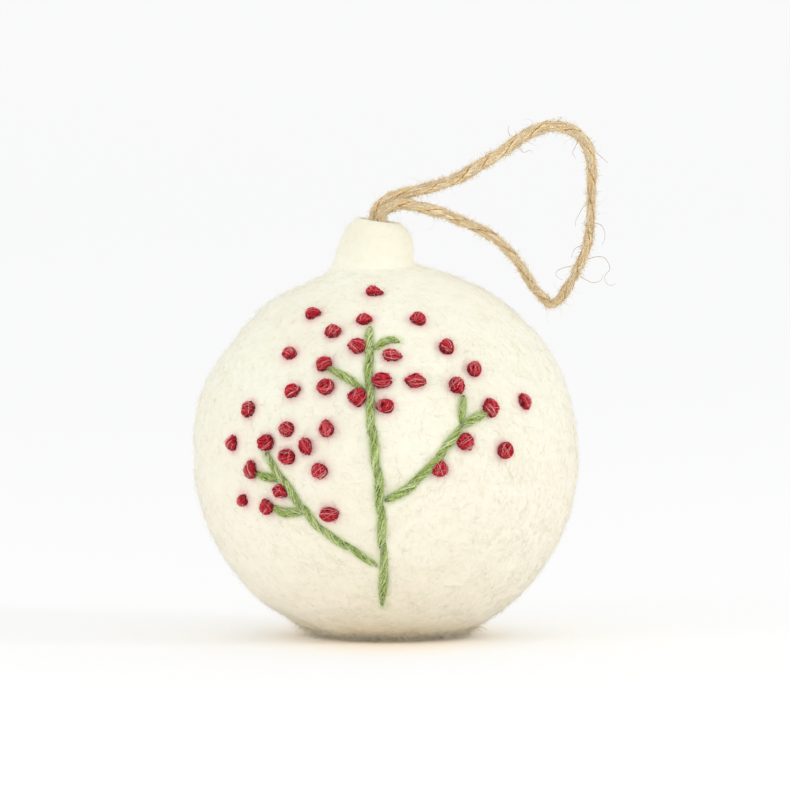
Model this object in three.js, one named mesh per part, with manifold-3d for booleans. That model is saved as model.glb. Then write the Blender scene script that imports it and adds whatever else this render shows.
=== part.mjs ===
// A felted wool ball ornament with a neck, a twine loop and an embroidered sprig of berries.
// Millimetres. +Z is up, the embroidery faces -Y, and the origin is the middle of the flat foot.

import * as THREE from "three";
import { mergeVertices } from "three/addons/utils/BufferGeometryUtils.js";
import Module from "manifold-3d";

const wasm = await Module();
wasm.setup();

// The ball: a soft inner ball inside a skin of felt that is pressed flat where it stands.
const BALL_DIAMETER = 76;
const FOOT_DIAMETER = 25.6;
const FELT_THICKNESS = 3;

// The felted neck on the crown leans a little, and its top lies over the twine's hole.
// Its skirt spreads until it runs into the ball, and its root is where the spread would end.
const NECK_HEIGHT = 8.3;
const NECK_WAIST_HEIGHT = 1.4;
const NECK_SHOULDER_HEIGHT = 6.5;
const NECK_DIAMETER = 15.4;
const NECK_TOP_DIAMETER = 8.6;
const NECK_ROOT_DIAMETER = 24;
const NECK_ROOT_DEPTH = 3.6;
const NECK_LEAN = THREE.MathUtils.degToRad(8);

// The twine: both legs of the loop leave one hole, this far across from the ball's middle. The
// back leg stands to the left of the front one, turned this far about the hole.
const TWINE_DIAMETER = 2.2;
const EXIT_ACROSS = -1.5;
const LEG_TURN = THREE.MathUtils.degToRad(20);
const KNOT_WIDTH = 7.2;
const KNOT_HEIGHT = 5.6;
const TAIL_LENGTH = 6;
const TAIL_SPREAD = THREE.MathUtils.degToRad(18);

// The embroidery: knotted berries, and long stitches for the stems.
const BERRY_SIZE = 3.3;
const BERRY_RISE = 1.9;
const STEM_WIDTH = 1.9;
const TWIG_WIDTH = 1.6;
const STITCH_RISE = 1.1;

// The gap between pieces that touch.
const CLEARANCE = 0.3;

// How finely round shapes are divided.
const BALL_SIDES = 48;
const BALL_ROWS = 20;
const CORE_SIDES = 32;
const CORE_ROWS = 14;
const NECK_SIDES = 32;
const NECK_CURVE_STEPS = 5;
const BORE_SIDES = 24;
const TWINE_SIDES = 8;
const TWINE_STEP = 2.6;
const BERRY_SIDES = 10;
const BERRY_ROWS = 7;
const STITCH_SIDES = 8;
const RINGS_PER_STITCH = 4;

// The embroidery is laid out on the ball as seen from the front and a little above.
const SPRIG_TILT = THREE.MathUtils.degToRad(4);

// Each berry: place across and up as shares of the ball's radius, width and height as
// shares of the berry size, and how far it leans, in degrees.
const BERRY_SHARES = [
  [-0.065, 0.85, 0.95, 0.62, -10],
  [-0.38, 0.735, 0.95, 0.78, 20],
  [-0.11, 0.705, 0.95, 0.75, 0],
  [-0.275, 0.645, 0.97, 0.92, 0],
  [-0.5, 0.53, 0.93, 0.85, 10],
  [-0.148, 0.569, 1.1, 1.05, 0],
  [-0.32, 0.477, 1.04, 0.95, 25],
  [0.027, 0.52, 1.08, 0.9, -15],
  [-0.487, 0.337, 0.93, 0.9, 25],
  [-0.313, 0.358, 1.07, 1.08, 0],
  [-0.022, 0.389, 1.2, 1.12, 0],
  [-0.146, 0.305, 1.13, 1.16, 0],
  [-0.005, 0.258, 1.1, 0.95, 0],
  [-0.715, 0.24, 0.86, 1.1, -5],
  [-0.515, 0.137, 0.98, 1.02, 0],
  [-0.308, 0.137, 0.93, 1.05, 10],
  [-0.8, 0.062, 0.7, 0.9, 10],
  [-0.625, 0.067, 1.1, 1.1, 0],
  [-0.417, 0.05, 0.86, 1.1, 15],
  [-0.515, -0.005, 1.1, 1.05, 0],
  [-0.702, -0.075, 0.9, 1.1, 0],
  [-0.347, -0.078, 1, 0.97, 30],
  [-0.55, -0.184, 0.96, 0.95, 0],
  [-0.743, -0.233, 0.6, 0.8, -10],
  [-0.62, -0.268, 0.9, 1, -20],
  [-0.295, -0.305, 1.2, 1, 0],
  [0.168, 0.71, 0.9, 0.95, -15],
  [0.316, 0.565, 0.87, 1.1, -20],
  [0.153, 0.388, 1.1, 1, 0],
  [0.459, 0.45, 0.87, 1, 0],
  [0.368, 0.366, 1.03, 1.08, 0],
  [0.544, 0.248, 1.05, 1.15, 0],
  [0.72, 0.28, 0.7, 0.98, 15],
  [0.412, 0.072, 1.1, 1.08, 0],
  [0.62, 0.026, 1.09, 1.07, 0],
  [0.28, -0.07, 1.02, 1, 0],
];

// Each run of stitches: its piece's name, its width, and the places where one stitch ends
// and the next starts, as shares of the ball's radius across and up.
const STITCH_RUNS = [
  {
    name: "stem_stitches",
    width: STEM_WIDTH,
    placeShares: [
      [-0.088, 0.668],
      [-0.086, 0.54],
      [-0.084, 0.363],
      [-0.072, 0.13],
      [-0.043, -0.085],
      [-0.027, -0.28],
      [-0.017, -0.455],
      [-0.01, -0.777],
    ],
  },
  {
    name: "right_branch_stitches",
    width: STEM_WIDTH,
    placeShares: [
      [0.0, -0.24],
      [0.145, -0.14],
      [0.285, 0.01],
      [0.378, 0.145],
    ],
  },
  {
    name: "left_branch_stitches",
    width: TWIG_WIDTH,
    placeShares: [
      [-0.03, -0.565],
      [-0.197, -0.464],
      [-0.321, -0.383],
      [-0.412, -0.285],
      [-0.518, -0.14],
      [-0.622, 0.01],
    ],
  },
  {
    name: "right_twig_up",
    width: TWIG_WIDTH,
    placeShares: [
      [0.399, 0.18],
      [0.389, 0.31],
    ],
  },
  {
    name: "right_twig_out",
    width: STEM_WIDTH,
    placeShares: [
      [0.4, 0.148],
      [0.52, 0.23],
    ],
  },
  {
    name: "left_twig_high",
    width: STEM_WIDTH,
    placeShares: [
      [-0.54, -0.115],
      [-0.663, -0.104],
    ],
  },
  {
    name: "left_twig_low",
    width: STEM_WIDTH,
    placeShares: [
      [-0.43, -0.285],
      [-0.503, -0.292],
      [-0.58, -0.275],
    ],
  },
  {
    name: "crown_twig_left",
    width: TWIG_WIDTH,
    placeShares: [
      [-0.105, 0.343],
      [-0.306, 0.451],
    ],
  },
  {
    name: "crown_twig_right",
    width: TWIG_WIDTH,
    placeShares: [
      [-0.065, 0.535],
      [0.005, 0.585],
      [0.07, 0.588],
    ],
  },
];

// The hanging loop's route from the hole and back, in millimetres from the point where the twine
// bends at the hole: right, up, and the share of the way to the back leg, or below 0 to the front.
const LOOP_ROUTE = [
  [0, 0, 1],
  [0.5, 0.9, 1],
  [1.8, 2.1, 1],
  [3.9, 3.2, 1],
  [6.3, 3.9, 0.95],
  [12.4, 5.5, 0.7],
  [16.6, 7.2, 0.5],
  [20.5, 9.6, 0.3],
  [24.4, 12.1, 0.15],
  [28.1, 14.8, 0],
  [31.2, 16.4, 0],
  [33.8, 17.1, 0],
  [36, 17, 0],
  [38.1, 16.3, 0],
  [39.9, 14.9, 0],
  [41.2, 12.9, 0],
  [41.8, 10.3, 0],
  [42, 7, 0],
  [41.8, 0, 0],
  [41, -6.6, 0],
  [40, -9.2, 0],
  [38.8, -11.8, 0],
  [37.6, -14, 0],
  [36.5, -15.8, 0],
  [35.3, -17.3, 0],
  [34, -17.9, 0],
  [32.9, -17.1, 0],
  [31.7, -15.9, 0],
  [30.2, -14.1, 0],
  [27.9, -10.3, 0],
  [24.9, -6.7, -0.1],
  [20.9, -3.8, -0.3],
  [16.5, -1.7, -0.5],
  [12.1, 0.1, -0.75],
  [6.3, 1.6, -0.95],
  [3.5, 1.8, -1],
  [1.6, 1.2, -1],
  [0, 0, -1],
];

// Sizes that follow from the ones above.
const BALL_RADIUS = BALL_DIAMETER / 2;
const BALL_MIDDLE = Math.sqrt(BALL_RADIUS ** 2 - (FOOT_DIAMETER / 2) ** 2);
const CROWN = BALL_MIDDLE + BALL_RADIUS;
const SEAT_RADIUS = BALL_RADIUS + CLEARANCE;
const TWINE_RADIUS = TWINE_DIAMETER / 2;
const LEG_SPACING = TWINE_DIAMETER + CLEARANCE;
const BORE_RADIUS = LEG_SPACING / 2 + TWINE_RADIUS + CLEARANCE;
const NECK_TOP = CROWN + NECK_HEIGHT;
const BEND_HEIGHT = NECK_TOP + CLEARANCE + TWINE_RADIUS;
const CORE_RADIUS = BALL_RADIUS - FELT_THICKNESS - CLEARANCE;
const FELT_UNDERSIDE = CROWN - FELT_THICKNESS;
const KNOT_TOP = FELT_UNDERSIDE - CLEARANCE;
const KNOT_MIDDLE = KNOT_TOP - KNOT_HEIGHT / 2;
const POCKET_RADIUS = KNOT_WIDTH / 2 + CLEARANCE;
const POCKET_FLOOR = KNOT_MIDDLE - KNOT_HEIGHT / 2 - TAIL_LENGTH;

function material(color, roughness) {
  return new THREE.MeshStandardMaterial({ color, roughness, metalness: 0 });
}

const WOOL_BATTING = () => material(0xe9dfcb, 1);
const IVORY_FELT = () => material(0xfbf3dc, 0.95);
const JUTE = () => material(0xc9a36a, 0.9);
const RED_THREAD = () => material(0xa91630, 0.8);
const GREEN_THREAD = () => material(0x6e9440, 0.8);

function solidOf(geometry) {
  const bare = geometry.clone();
  bare.deleteAttribute("normal");
  bare.deleteAttribute("uv");
  const merged = mergeVertices(bare);
  return new wasm.Manifold(
    new wasm.Mesh({
      numProp: 3,
      vertProperties: new Float32Array(merged.attributes.position.array),
      triVerts: new Uint32Array(merged.index.array),
    }),
  );
}

function geometryOf(solid) {
  const mesh = solid.getMesh();
  const geometry = new THREE.BufferGeometry();
  geometry.setAttribute("position", new THREE.BufferAttribute(mesh.vertProperties, 3));
  geometry.setIndex(new THREE.BufferAttribute(mesh.triVerts, 1));
  geometry.computeVertexNormals();
  return geometry;
}

function largestBody(solid) {
  const bodies = solid.decompose();
  return bodies.reduce((best, body) => (body.volume() > best.volume() ? body : best));
}

function moveVertices(geometry, move) {
  const places = geometry.attributes.position;
  const point = new THREE.Vector3();
  for (let i = 0; i < places.count; i += 1) {
    move(point.fromBufferAttribute(places, i));
    places.setXYZ(i, point.x, point.y, point.z);
  }
  return geometry;
}

function named(name, geometry, look) {
  const mesh = new THREE.Mesh(geometry, look);
  mesh.name = name;
  return mesh;
}

// A ball with a flat foot, closed, with its foot at the given height.
function footedBall(radius, footHeight, sides, rows) {
  const low = Math.asin((footHeight - BALL_MIDDLE) / radius);
  const profile = [new THREE.Vector2(0, footHeight)];
  for (let row = 0; row < rows; row += 1) {
    const angle = THREE.MathUtils.lerp(low, Math.PI / 2, row / rows);
    const height = BALL_MIDDLE + radius * Math.sin(angle);
    profile.push(new THREE.Vector2(radius * Math.cos(angle), height));
  }
  profile.push(new THREE.Vector2(0, BALL_MIDDLE + radius));
  return new THREE.LatheGeometry(profile, sides).rotateX(Math.PI / 2);
}

// An upright round bar over the twine's hole, from one height to another.
function uprightBar(radius, low, high, sides) {
  const bar = new THREE.CylinderGeometry(radius, radius, high - low, sides);
  return bar.rotateX(Math.PI / 2).translate(EXIT_ACROSS, 0, (low + high) / 2);
}

function feltShell() {
  const outer = solidOf(footedBall(BALL_RADIUS, 0, BALL_SIDES, BALL_ROWS));
  const insideRadius = BALL_RADIUS - FELT_THICKNESS;
  const inner = solidOf(footedBall(insideRadius, FELT_THICKNESS, CORE_SIDES, CORE_ROWS));
  const hole = solidOf(uprightBar(BORE_RADIUS, KNOT_MIDDLE, NECK_TOP, BORE_SIDES));
  return geometryOf(outer.subtract(inner).subtract(hole));
}

function woolCore() {
  const foot = FELT_THICKNESS + CLEARANCE;
  const core = solidOf(footedBall(CORE_RADIUS, foot, CORE_SIDES, CORE_ROWS));
  const pocket = solidOf(uprightBar(POCKET_RADIUS, POCKET_FLOOR, CROWN, BORE_SIDES));
  return geometryOf(core.subtract(pocket));
}

// The neck is round about its own axis, leans over, and is cut to sit on the ball.
function feltNeck() {
  const waist = NECK_DIAMETER / 2;
  const root = NECK_ROOT_DIAMETER / 2;
  const skirt = new THREE.QuadraticBezierCurve(
    new THREE.Vector2(root, -NECK_ROOT_DEPTH),
    new THREE.Vector2(waist, -NECK_ROOT_DEPTH / 2),
    new THREE.Vector2(waist, NECK_WAIST_HEIGHT),
  );
  const shoulder = new THREE.QuadraticBezierCurve(
    new THREE.Vector2(waist, NECK_WAIST_HEIGHT),
    new THREE.Vector2(waist, NECK_SHOULDER_HEIGHT),
    new THREE.Vector2(NECK_TOP_DIAMETER / 2, NECK_HEIGHT),
  );
  const outline = [
    new THREE.Vector2(0, -NECK_ROOT_DEPTH),
    ...skirt.getPoints(NECK_CURVE_STEPS),
    ...shoulder.getPoints(NECK_CURVE_STEPS).slice(1),
    new THREE.Vector2(0, NECK_HEIGHT),
  ];
  const neck = new THREE.LatheGeometry(outline, NECK_SIDES).rotateX(Math.PI / 2);
  const lean = Math.tan(NECK_LEAN);
  moveVertices(neck, (point) => {
    const dip = (lean * point.x * Math.max(point.z, 0)) / NECK_HEIGHT;
    point.x += EXIT_ACROSS + lean * (point.z - NECK_HEIGHT);
    point.z += CROWN - dip;
  });
  const seat = solidOf(footedBall(SEAT_RADIUS, 0, BALL_SIDES, BALL_ROWS));
  const bore = solidOf(uprightBar(BORE_RADIUS, CROWN - BALL_RADIUS, BEND_HEIGHT, BORE_SIDES));
  return geometryOf(largestBody(solidOf(neck).subtract(seat).subtract(bore)));
}

// The knot that stops the twine from pulling out, with its two cut tails.
function stopperKnot() {
  const widest = new THREE.SphereGeometry(KNOT_WIDTH / 2, BORE_SIDES / 2, BORE_SIDES / 3);
  widest.rotateX(Math.PI / 2);
  widest.scale(1, 1, KNOT_HEIGHT / KNOT_WIDTH);
  widest.translate(EXIT_ACROSS, 0, KNOT_MIDDLE);
  let knot = solidOf(widest);
  for (const side of [-1, 1]) {
    const reach = TAIL_LENGTH + KNOT_HEIGHT / 2 - CLEARANCE;
    const tail = new THREE.CylinderGeometry(TWINE_RADIUS, TWINE_RADIUS, reach, TWINE_SIDES);
    tail.rotateX(Math.PI / 2);
    tail.translate(0, 0, -reach / 2);
    tail.rotateX(side * TAIL_SPREAD);
    tail.scale(1, 1, Math.cos(TAIL_SPREAD));
    tail.translate(EXIT_ACROSS, 0, KNOT_MIDDLE);
    knot = knot.add(solidOf(tail));
  }
  const pocket = uprightBar(POCKET_RADIUS - CLEARANCE, POCKET_FLOOR + CLEARANCE, CROWN, BORE_SIDES);
  return geometryOf(knot.intersect(solidOf(pocket)));
}

// How far a leg stands from the hole's middle: the back leg where the share is 1, the front where -1.
function legOffset(legShare) {
  const reach = (legShare * LEG_SPACING) / 2;
  return new THREE.Vector3(-reach * Math.sin(LEG_TURN), reach * Math.cos(LEG_TURN), 0);
}

// One leg of the loop inside the neck.
function twineLeg(legShare) {
  const leg = uprightBar(TWINE_RADIUS, KNOT_TOP + CLEARANCE, NECK_TOP - CLEARANCE, TWINE_SIDES);
  const { x, y } = legOffset(legShare);
  return leg.translate(x, y, 0);
}

function routePoint([right, up, legShare]) {
  return legOffset(legShare).add(new THREE.Vector3(EXIT_ACROSS + right, 0, BEND_HEIGHT + up));
}

// The free loop of twine. Its ends are round, so that they turn on the spot at the hole.
function hangingLoop() {
  const route = new THREE.CatmullRomCurve3(LOOP_ROUTE.map(routePoint), false, "centripetal");
  const section = new THREE.Shape();
  section.absarc(0, 0, TWINE_RADIUS, 0, 2 * Math.PI);
  const tube = new THREE.ExtrudeGeometry(section, {
    extrudePath: route,
    steps: Math.round(route.getLength() / TWINE_STEP),
    curveSegments: TWINE_SIDES / 2,
  });
  let loop = solidOf(tube);
  for (const end of [LOOP_ROUTE[0], LOOP_ROUTE[LOOP_ROUTE.length - 1]]) {
    const { x, y, z } = routePoint(end);
    const round = new THREE.SphereGeometry(TWINE_RADIUS, TWINE_SIDES, TWINE_SIDES / 2);
    loop = loop.add(solidOf(round.translate(x, y, z)));
  }
  return geometryOf(loop);
}

// The point this far from the ball's middle that shows at these shares of its radius across and up.
function onBall(acrossShare, upShare, radius) {
  const across = acrossShare * BALL_RADIUS;
  const up = upShare * BALL_RADIUS;
  const place = new THREE.Vector3(across, -Math.sqrt(radius ** 2 - across ** 2 - up ** 2), up);
  place.applyAxisAngle(new THREE.Vector3(1, 0, 0), -SPRIG_TILT);
  return place.setZ(place.z + BALL_MIDDLE);
}

function outwardAt(point) {
  return point.clone().setZ(point.z - BALL_MIDDLE).normalize();
}

// Whatever lies inside the ball's skin is pressed out to just clear of it.
function seatOnBall(geometry) {
  const middle = new THREE.Vector3(0, 0, BALL_MIDDLE);
  return moveVertices(geometry, (point) => {
    point.sub(middle);
    point.setLength(Math.max(point.length(), SEAT_RADIUS));
    point.add(middle);
  });
}

// How far out a thread's middle lies, and its half height there, for how far it stands out.
function threadSection(rise) {
  const middleShare = 0.35;
  const middle = THREE.MathUtils.lerp(SEAT_RADIUS, BALL_RADIUS + rise, middleShare);
  return { middle, half: BALL_RADIUS + rise - middle };
}

// A knotted berry: a flattened bead on the felt, made larger all round by extra.
function berry([acrossShare, upShare, wideShare, tallShare, lean], extra) {
  const { middle, half } = threadSection(BERRY_RISE);
  const place = onBall(acrossShare, upShare, middle);
  const outward = outwardAt(place);
  const right = new THREE.Vector3(0, 0, 1).cross(outward).normalize();
  const up = outward.clone().cross(right);
  const bead = new THREE.SphereGeometry(1, BERRY_SIDES, BERRY_ROWS).rotateX(Math.PI / 2);
  const wide = (BERRY_SIZE * wideShare) / 2 + extra;
  const tall = (BERRY_SIZE * tallShare) / 2 + extra;
  bead.scale(wide, tall, half + extra);
  bead.rotateZ(THREE.MathUtils.degToRad(lean));
  bead.applyMatrix4(new THREE.Matrix4().makeBasis(right, up, outward));
  bead.translate(place.x, place.y, place.z);
  return seatOnBall(bead);
}

// A run of stitches: a string of spindles, thin where one stitch meets the next,
// bent along its line on the ball.
function stitchRun({ width, placeShares }, extra) {
  const { middle, half } = threadSection(STITCH_RISE);
  const line = new THREE.SplineCurve(placeShares.map((share) => new THREE.Vector2(...share)));
  const tipShare = 0.35;
  const pinchShare = 0.7;
  const stitches = placeShares.length - 1;
  const rings = stitches * RINGS_PER_STITCH;
  const profile = [new THREE.Vector2(0, 0)];
  for (let ring = 0; ring <= rings; ring += 1) {
    const swell = Math.sqrt(Math.sin((Math.PI * (ring % RINGS_PER_STITCH)) / RINGS_PER_STITCH));
    const thin = ring === 0 || ring === rings ? tipShare : pinchShare;
    profile.push(new THREE.Vector2(THREE.MathUtils.lerp(thin, 1, swell), ring / rings));
  }
  profile.push(new THREE.Vector2(0, 1));
  const string = new THREE.LatheGeometry(profile, STITCH_SIDES);
  const ahead = 1 / rings / RINGS_PER_STITCH;
  moveVertices(string, (point) => {
    const share = point.y;
    const here = line.getPoint(share);
    const start = line.getPoint(Math.max(share - ahead, 0));
    const stop = line.getPoint(Math.min(share + ahead, 1));
    const centre = onBall(here.x, here.y, middle);
    const along = onBall(stop.x, stop.y, middle).sub(onBall(start.x, start.y, middle));
    const outward = outwardAt(centre);
    const sideways = along.normalize().cross(outward).normalize();
    sideways.multiplyScalar(point.x * (width / 2 + extra));
    const raise = outward.multiplyScalar(point.z * (half + extra));
    point.copy(centre).add(sideways).add(raise);
  });
  return seatOnBall(string);
}

// Runs of stitches stop just short of the berries and of the runs that they grow from.
function embroidery() {
  const berries = BERRY_SHARES.map((row) => solidOf(berry(row, CLEARANCE)));
  const laid = [];
  const pieces = STITCH_RUNS.map((run) => {
    let thread = solidOf(stitchRun(run, 0));
    for (const other of [...laid, ...berries]) thread = thread.subtract(other);
    laid.push(solidOf(stitchRun(run, CLEARANCE)));
    return named(run.name, geometryOf(largestBody(thread)), GREEN_THREAD());
  });
  BERRY_SHARES.forEach((row, index) => {
    const name = `berry_${String(index + 1).padStart(2, "0")}`;
    pieces.push(named(name, berry(row, 0), RED_THREAD()));
  });
  return pieces;
}

const ornament = new THREE.Group();
ornament.add(named("wool_core", woolCore(), WOOL_BATTING()));
ornament.add(named("felt_shell", feltShell(), IVORY_FELT()));
ornament.add(named("felt_neck", feltNeck(), IVORY_FELT()));
ornament.add(named("stopper_knot", stopperKnot(), JUTE()));
ornament.add(named("twine_leg_back", twineLeg(1), JUTE()));
ornament.add(named("twine_leg_front", twineLeg(-1), JUTE()));
ornament.add(named("hanging_loop", hangingLoop(), JUTE()));
ornament.add(...embroidery());

export default ornament;
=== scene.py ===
"""A felted wool ball ornament: an ivory ball with a neck, a loop of jute twine, and an embroidered
sprig of red knots on green stems. Metres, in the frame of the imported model: +Z is up and the
embroidery faces -Y."""

import math

import bmesh
import bpy
import numpy as np
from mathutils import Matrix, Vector
from mathutils.kdtree import KDTree


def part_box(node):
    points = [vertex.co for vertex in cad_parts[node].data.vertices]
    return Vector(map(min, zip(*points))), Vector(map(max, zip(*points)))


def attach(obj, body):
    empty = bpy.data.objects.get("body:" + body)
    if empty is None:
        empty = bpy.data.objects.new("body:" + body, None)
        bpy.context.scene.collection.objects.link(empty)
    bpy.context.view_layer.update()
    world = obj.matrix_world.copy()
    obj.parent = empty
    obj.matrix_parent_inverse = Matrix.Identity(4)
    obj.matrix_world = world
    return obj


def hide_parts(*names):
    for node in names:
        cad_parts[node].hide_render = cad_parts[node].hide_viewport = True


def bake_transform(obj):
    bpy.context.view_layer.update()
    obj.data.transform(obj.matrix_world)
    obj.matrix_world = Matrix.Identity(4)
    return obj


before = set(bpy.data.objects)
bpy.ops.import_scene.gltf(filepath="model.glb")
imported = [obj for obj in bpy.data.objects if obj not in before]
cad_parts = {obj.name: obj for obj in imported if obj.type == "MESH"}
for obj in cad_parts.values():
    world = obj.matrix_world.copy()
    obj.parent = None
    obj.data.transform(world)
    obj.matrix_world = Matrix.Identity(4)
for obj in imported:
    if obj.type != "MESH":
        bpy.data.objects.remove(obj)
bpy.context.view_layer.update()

# The photograph's frame, and where the ball shows in it.
PHOTO_SIDE = 790
BALL_PIXEL = (386, 455)
BALL_RADIUS_PIXELS = 193
CAMERA_ELEVATION = math.radians(4)
CAMERA_DISTANCE = 3.2
SENSOR_WIDTH = 36

# The ball and its skin of felt.
BALL_RADIUS = 0.038
FOOT_RADIUS = 0.0128
FELT_THICKNESS = 0.003
BALL_MIDDLE = math.sqrt(BALL_RADIUS**2 - FOOT_RADIUS**2)
CROWN = BALL_MIDDLE + BALL_RADIUS
FOOT_ROUNDING = 0.0025

# The neck on the crown, which leans a little.
NECK_HEIGHT = 0.0083
NECK_WAIST_HEIGHT = 0.0014
NECK_SHOULDER_HEIGHT = 0.0065
NECK_RADIUS = 0.0077
NECK_TOP_RADIUS = 0.0043
NECK_ROOT_RADIUS = 0.012
NECK_ROOT_DEPTH = 0.0048
NECK_LEAN = math.radians(8)

# The twine and the hole that it comes out of. The back leg stands to the left of the front one.
TWINE_DIAMETER = 0.0022
EXIT_ACROSS = -0.0015
LEG_TURN = math.radians(30)
CLEARANCE = 0.0003
LEG_SPACING = TWINE_DIAMETER + CLEARANCE
HOLE_RADIUS = LEG_SPACING / 2 + TWINE_DIAMETER / 2 + CLEARANCE
BEND_POINT = Vector((EXIT_ACROSS, 0, CROWN + NECK_HEIGHT + CLEARANCE + TWINE_DIAMETER / 2))
LEG_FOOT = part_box("twine_leg_front")[0].z

# The loop's route from the hole and back, from the point where the twine bends:
# right, up, and the share of the way to the back leg, or below 0 to the front one.
LOOP_ROUTE = [
    (0, 0, 1), (0.0005, 0.0009, 1), (0.0018, 0.0021, 1), (0.0039, 0.0032, 1), (0.0063, 0.0039, 0.95),
    (0.009, 0.0046, 0.85), (0.0124, 0.0055, 0.7), (0.0166, 0.0072, 0.5), (0.0205, 0.0096, 0.3),
    (0.0244, 0.0121, 0.15), (0.0281, 0.0148, 0), (0.0312, 0.0164, 0), (0.0338, 0.0171, 0),
    (0.036, 0.017, 0), (0.0381, 0.0163, 0), (0.0399, 0.0149, 0), (0.0412, 0.0129, 0), (0.0418, 0.0103, 0),
    (0.042, 0.007, 0), (0.0419, 0.0034, 0), (0.0418, 0, 0), (0.0416, -0.0033, 0), (0.041, -0.0066, 0),
    (0.04, -0.0092, 0), (0.0388, -0.0118, 0), (0.0376, -0.014, 0), (0.0365, -0.0158, 0),
    (0.0353, -0.0173, 0), (0.034, -0.0179, 0), (0.0329, -0.0171, 0), (0.0317, -0.0159, 0),
    (0.0302, -0.0141, 0), (0.0279, -0.0103, 0), (0.0249, -0.0067, -0.1), (0.0209, -0.0038, -0.3),
    (0.0165, -0.0017, -0.5), (0.0121, 0.0001, -0.75), (0.0091, 0.0009, -0.85), (0.0063, 0.0016, -0.95),
    (0.0035, 0.0018, -1), (0.0016, 0.0012, -1), (0, 0, -1),
]

# The embroidery is laid out on the ball as seen from the front and a little above.
SPRIG_TILT = math.radians(4)
STITCH_STEP = 0.00016
THREAD_DENT = 0.00012
STEM_WIDTH = 0.0019
TWIG_WIDTH = 0.0016

# Each run of stitches: its node, its width, and the places where one stitch ends and the
# next starts, as shares of the ball's radius across and up.
STITCH_RUNS = [
    ("stem_stitches", STEM_WIDTH, [
        (-0.088, 0.662), (-0.086, 0.54), (-0.084, 0.363), (-0.072, 0.13),
        (-0.043, -0.085), (-0.027, -0.28), (-0.017, -0.455), (-0.01, -0.777),
    ]),
    ("right_branch_stitches", STEM_WIDTH, [(0.0, -0.24), (0.145, -0.14), (0.285, 0.01), (0.389, 0.16)]),
    ("left_branch_stitches", TWIG_WIDTH, [
        (-0.03, -0.565), (-0.197, -0.464), (-0.321, -0.383),
        (-0.412, -0.285), (-0.518, -0.14), (-0.622, 0.01),
    ]),
    ("right_twig_up", TWIG_WIDTH, [(0.394, 0.163), (0.389, 0.31)]),
    ("right_twig_out", STEM_WIDTH, [(0.388, 0.146), (0.52, 0.23)]),
    ("left_twig_high", STEM_WIDTH, [(-0.54, -0.115), (-0.663, -0.104)]),
    ("left_twig_low", STEM_WIDTH, [(-0.422, -0.28), (-0.503, -0.292), (-0.58, -0.275)]),
    ("crown_twig_left", TWIG_WIDTH, [(-0.105, 0.343), (-0.306, 0.451)]),
    ("crown_twig_right", TWIG_WIDTH, [(-0.065, 0.535), (0.005, 0.585), (0.07, 0.588)]),
]

# Each berry's thread: the direction of its wraps and how far they turn to face out, in degrees,
# and the directions and lengths of its pulled corners, as shares of the berry's half size.
BERRY_WRAPS = [
    (60, 20, [(-10, 0.3)]),
    (50, 15, [(22, 0.2)]),
    (60, 10, [(205, 0.25)]),
    (80, 35, [(0, 0.15), (220, 0.2)]),
    (150, 30, [(195, 0.12)]),
    (-40, 30, [(175, 0.12), (280, 0.2)]),
    (40, 10, [(240, 0.18)]),
    (10, 20, [(-5, 0.28)]),
    (15, 10, [(22, 0.32), (250, 0.28)]),
    (60, 60, [(5, 0.12), (225, 0.12)]),
    (0, 25, [(0, 0.1)]),
    (50, 40, [(275, 0.2), (170, 0.15)]),
    (70, 60, [(305, 0.15)]),
    (15, 5, [(200, 0.12)]),
    (160, 75, [(180, 0.15)]),
    (60, 50, [(100, 0.25)]),
    (50, 20, [(80, 0.4), (300, 0.2), (200, 0.12)]),
    (25, 30, [(15, 0.12)]),
    (120, 30, [(290, 0.2)]),
    (10, 60, [(315, 0.15)]),
    (110, 20, [(95, 0.2), (300, 0.2)]),
    (40, 40, [(-15, 0.3), (130, 0.15), (290, 0.2)]),
    (30, 50, [(330, 0.2)]),
    (120, 10, [(305, 0.2)]),
    (130, 20, [(105, 0.25), (-10, 0.25), (230, 0.1)]),
    (20, 55, [(25, 0.15)]),
    (60, 70, [(180, 0.25), (310, 0.2)]),
    (130, 25, [(165, 0.25), (300, 0.2)]),
    (15, 30, [(180, 0.25), (-12, 0.25)]),
    (100, 60, [(280, 0.1)]),
    (40, 20, [(285, 0.25)]),
    (-40, 20, [(100, 0.15), (0, 0.1), (270, 0.15)]),
    (110, 10, [(95, 0.2), (285, 0.2)]),
    (35, 30, [(180, 0.15), (80, 0.12), (300, 0.2)]),
    (50, 60, [(80, 0.1)]),
    (90, 65, [(75, 0.2), (200, 0.12)]),
]
BERRIES = [f"berry_{number:02d}" for number in range(1, len(BERRY_WRAPS) + 1)]

UP = np.array([0.0, 0.0, 1.0])
MIDDLE = np.array([0.0, 0.0, BALL_MIDDLE])

# In one metre, for grain and textures.
MILLIMETRES = 1000


# Shapes

def unit(vectors):
    """The same directions with a length of one."""
    vectors = np.asarray(vectors, float)
    return vectors / np.linalg.norm(vectors, axis=-1, keepdims=True)


def ripples(points, sizes, rng):
    """A smooth random height: the sum of ripples, each of some height, wavelength and number of waves."""
    total = 0
    for height, wavelength, waves in sizes:
        directions = unit(rng.normal(size=(waves, 3))) * (math.tau / wavelength)
        phases = rng.uniform(0, math.tau, waves)
        total = total + height * (np.cos(points @ directions.T + phases).sum(1) * math.sqrt(1 / waves))
    return total


def smooth_step(values, start=0, width=1):
    """0 up to the start and 1 past the width from there, with a smooth rise between."""
    values = np.clip((values - start) / width, 0, 1)
    return values * values * (3 - 2 * values)


def bell(values, middle, spread):
    """1 at the middle, falling smoothly to 0 on both sides."""
    return np.exp(-(((values - middle) / spread) ** 2))


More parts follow.
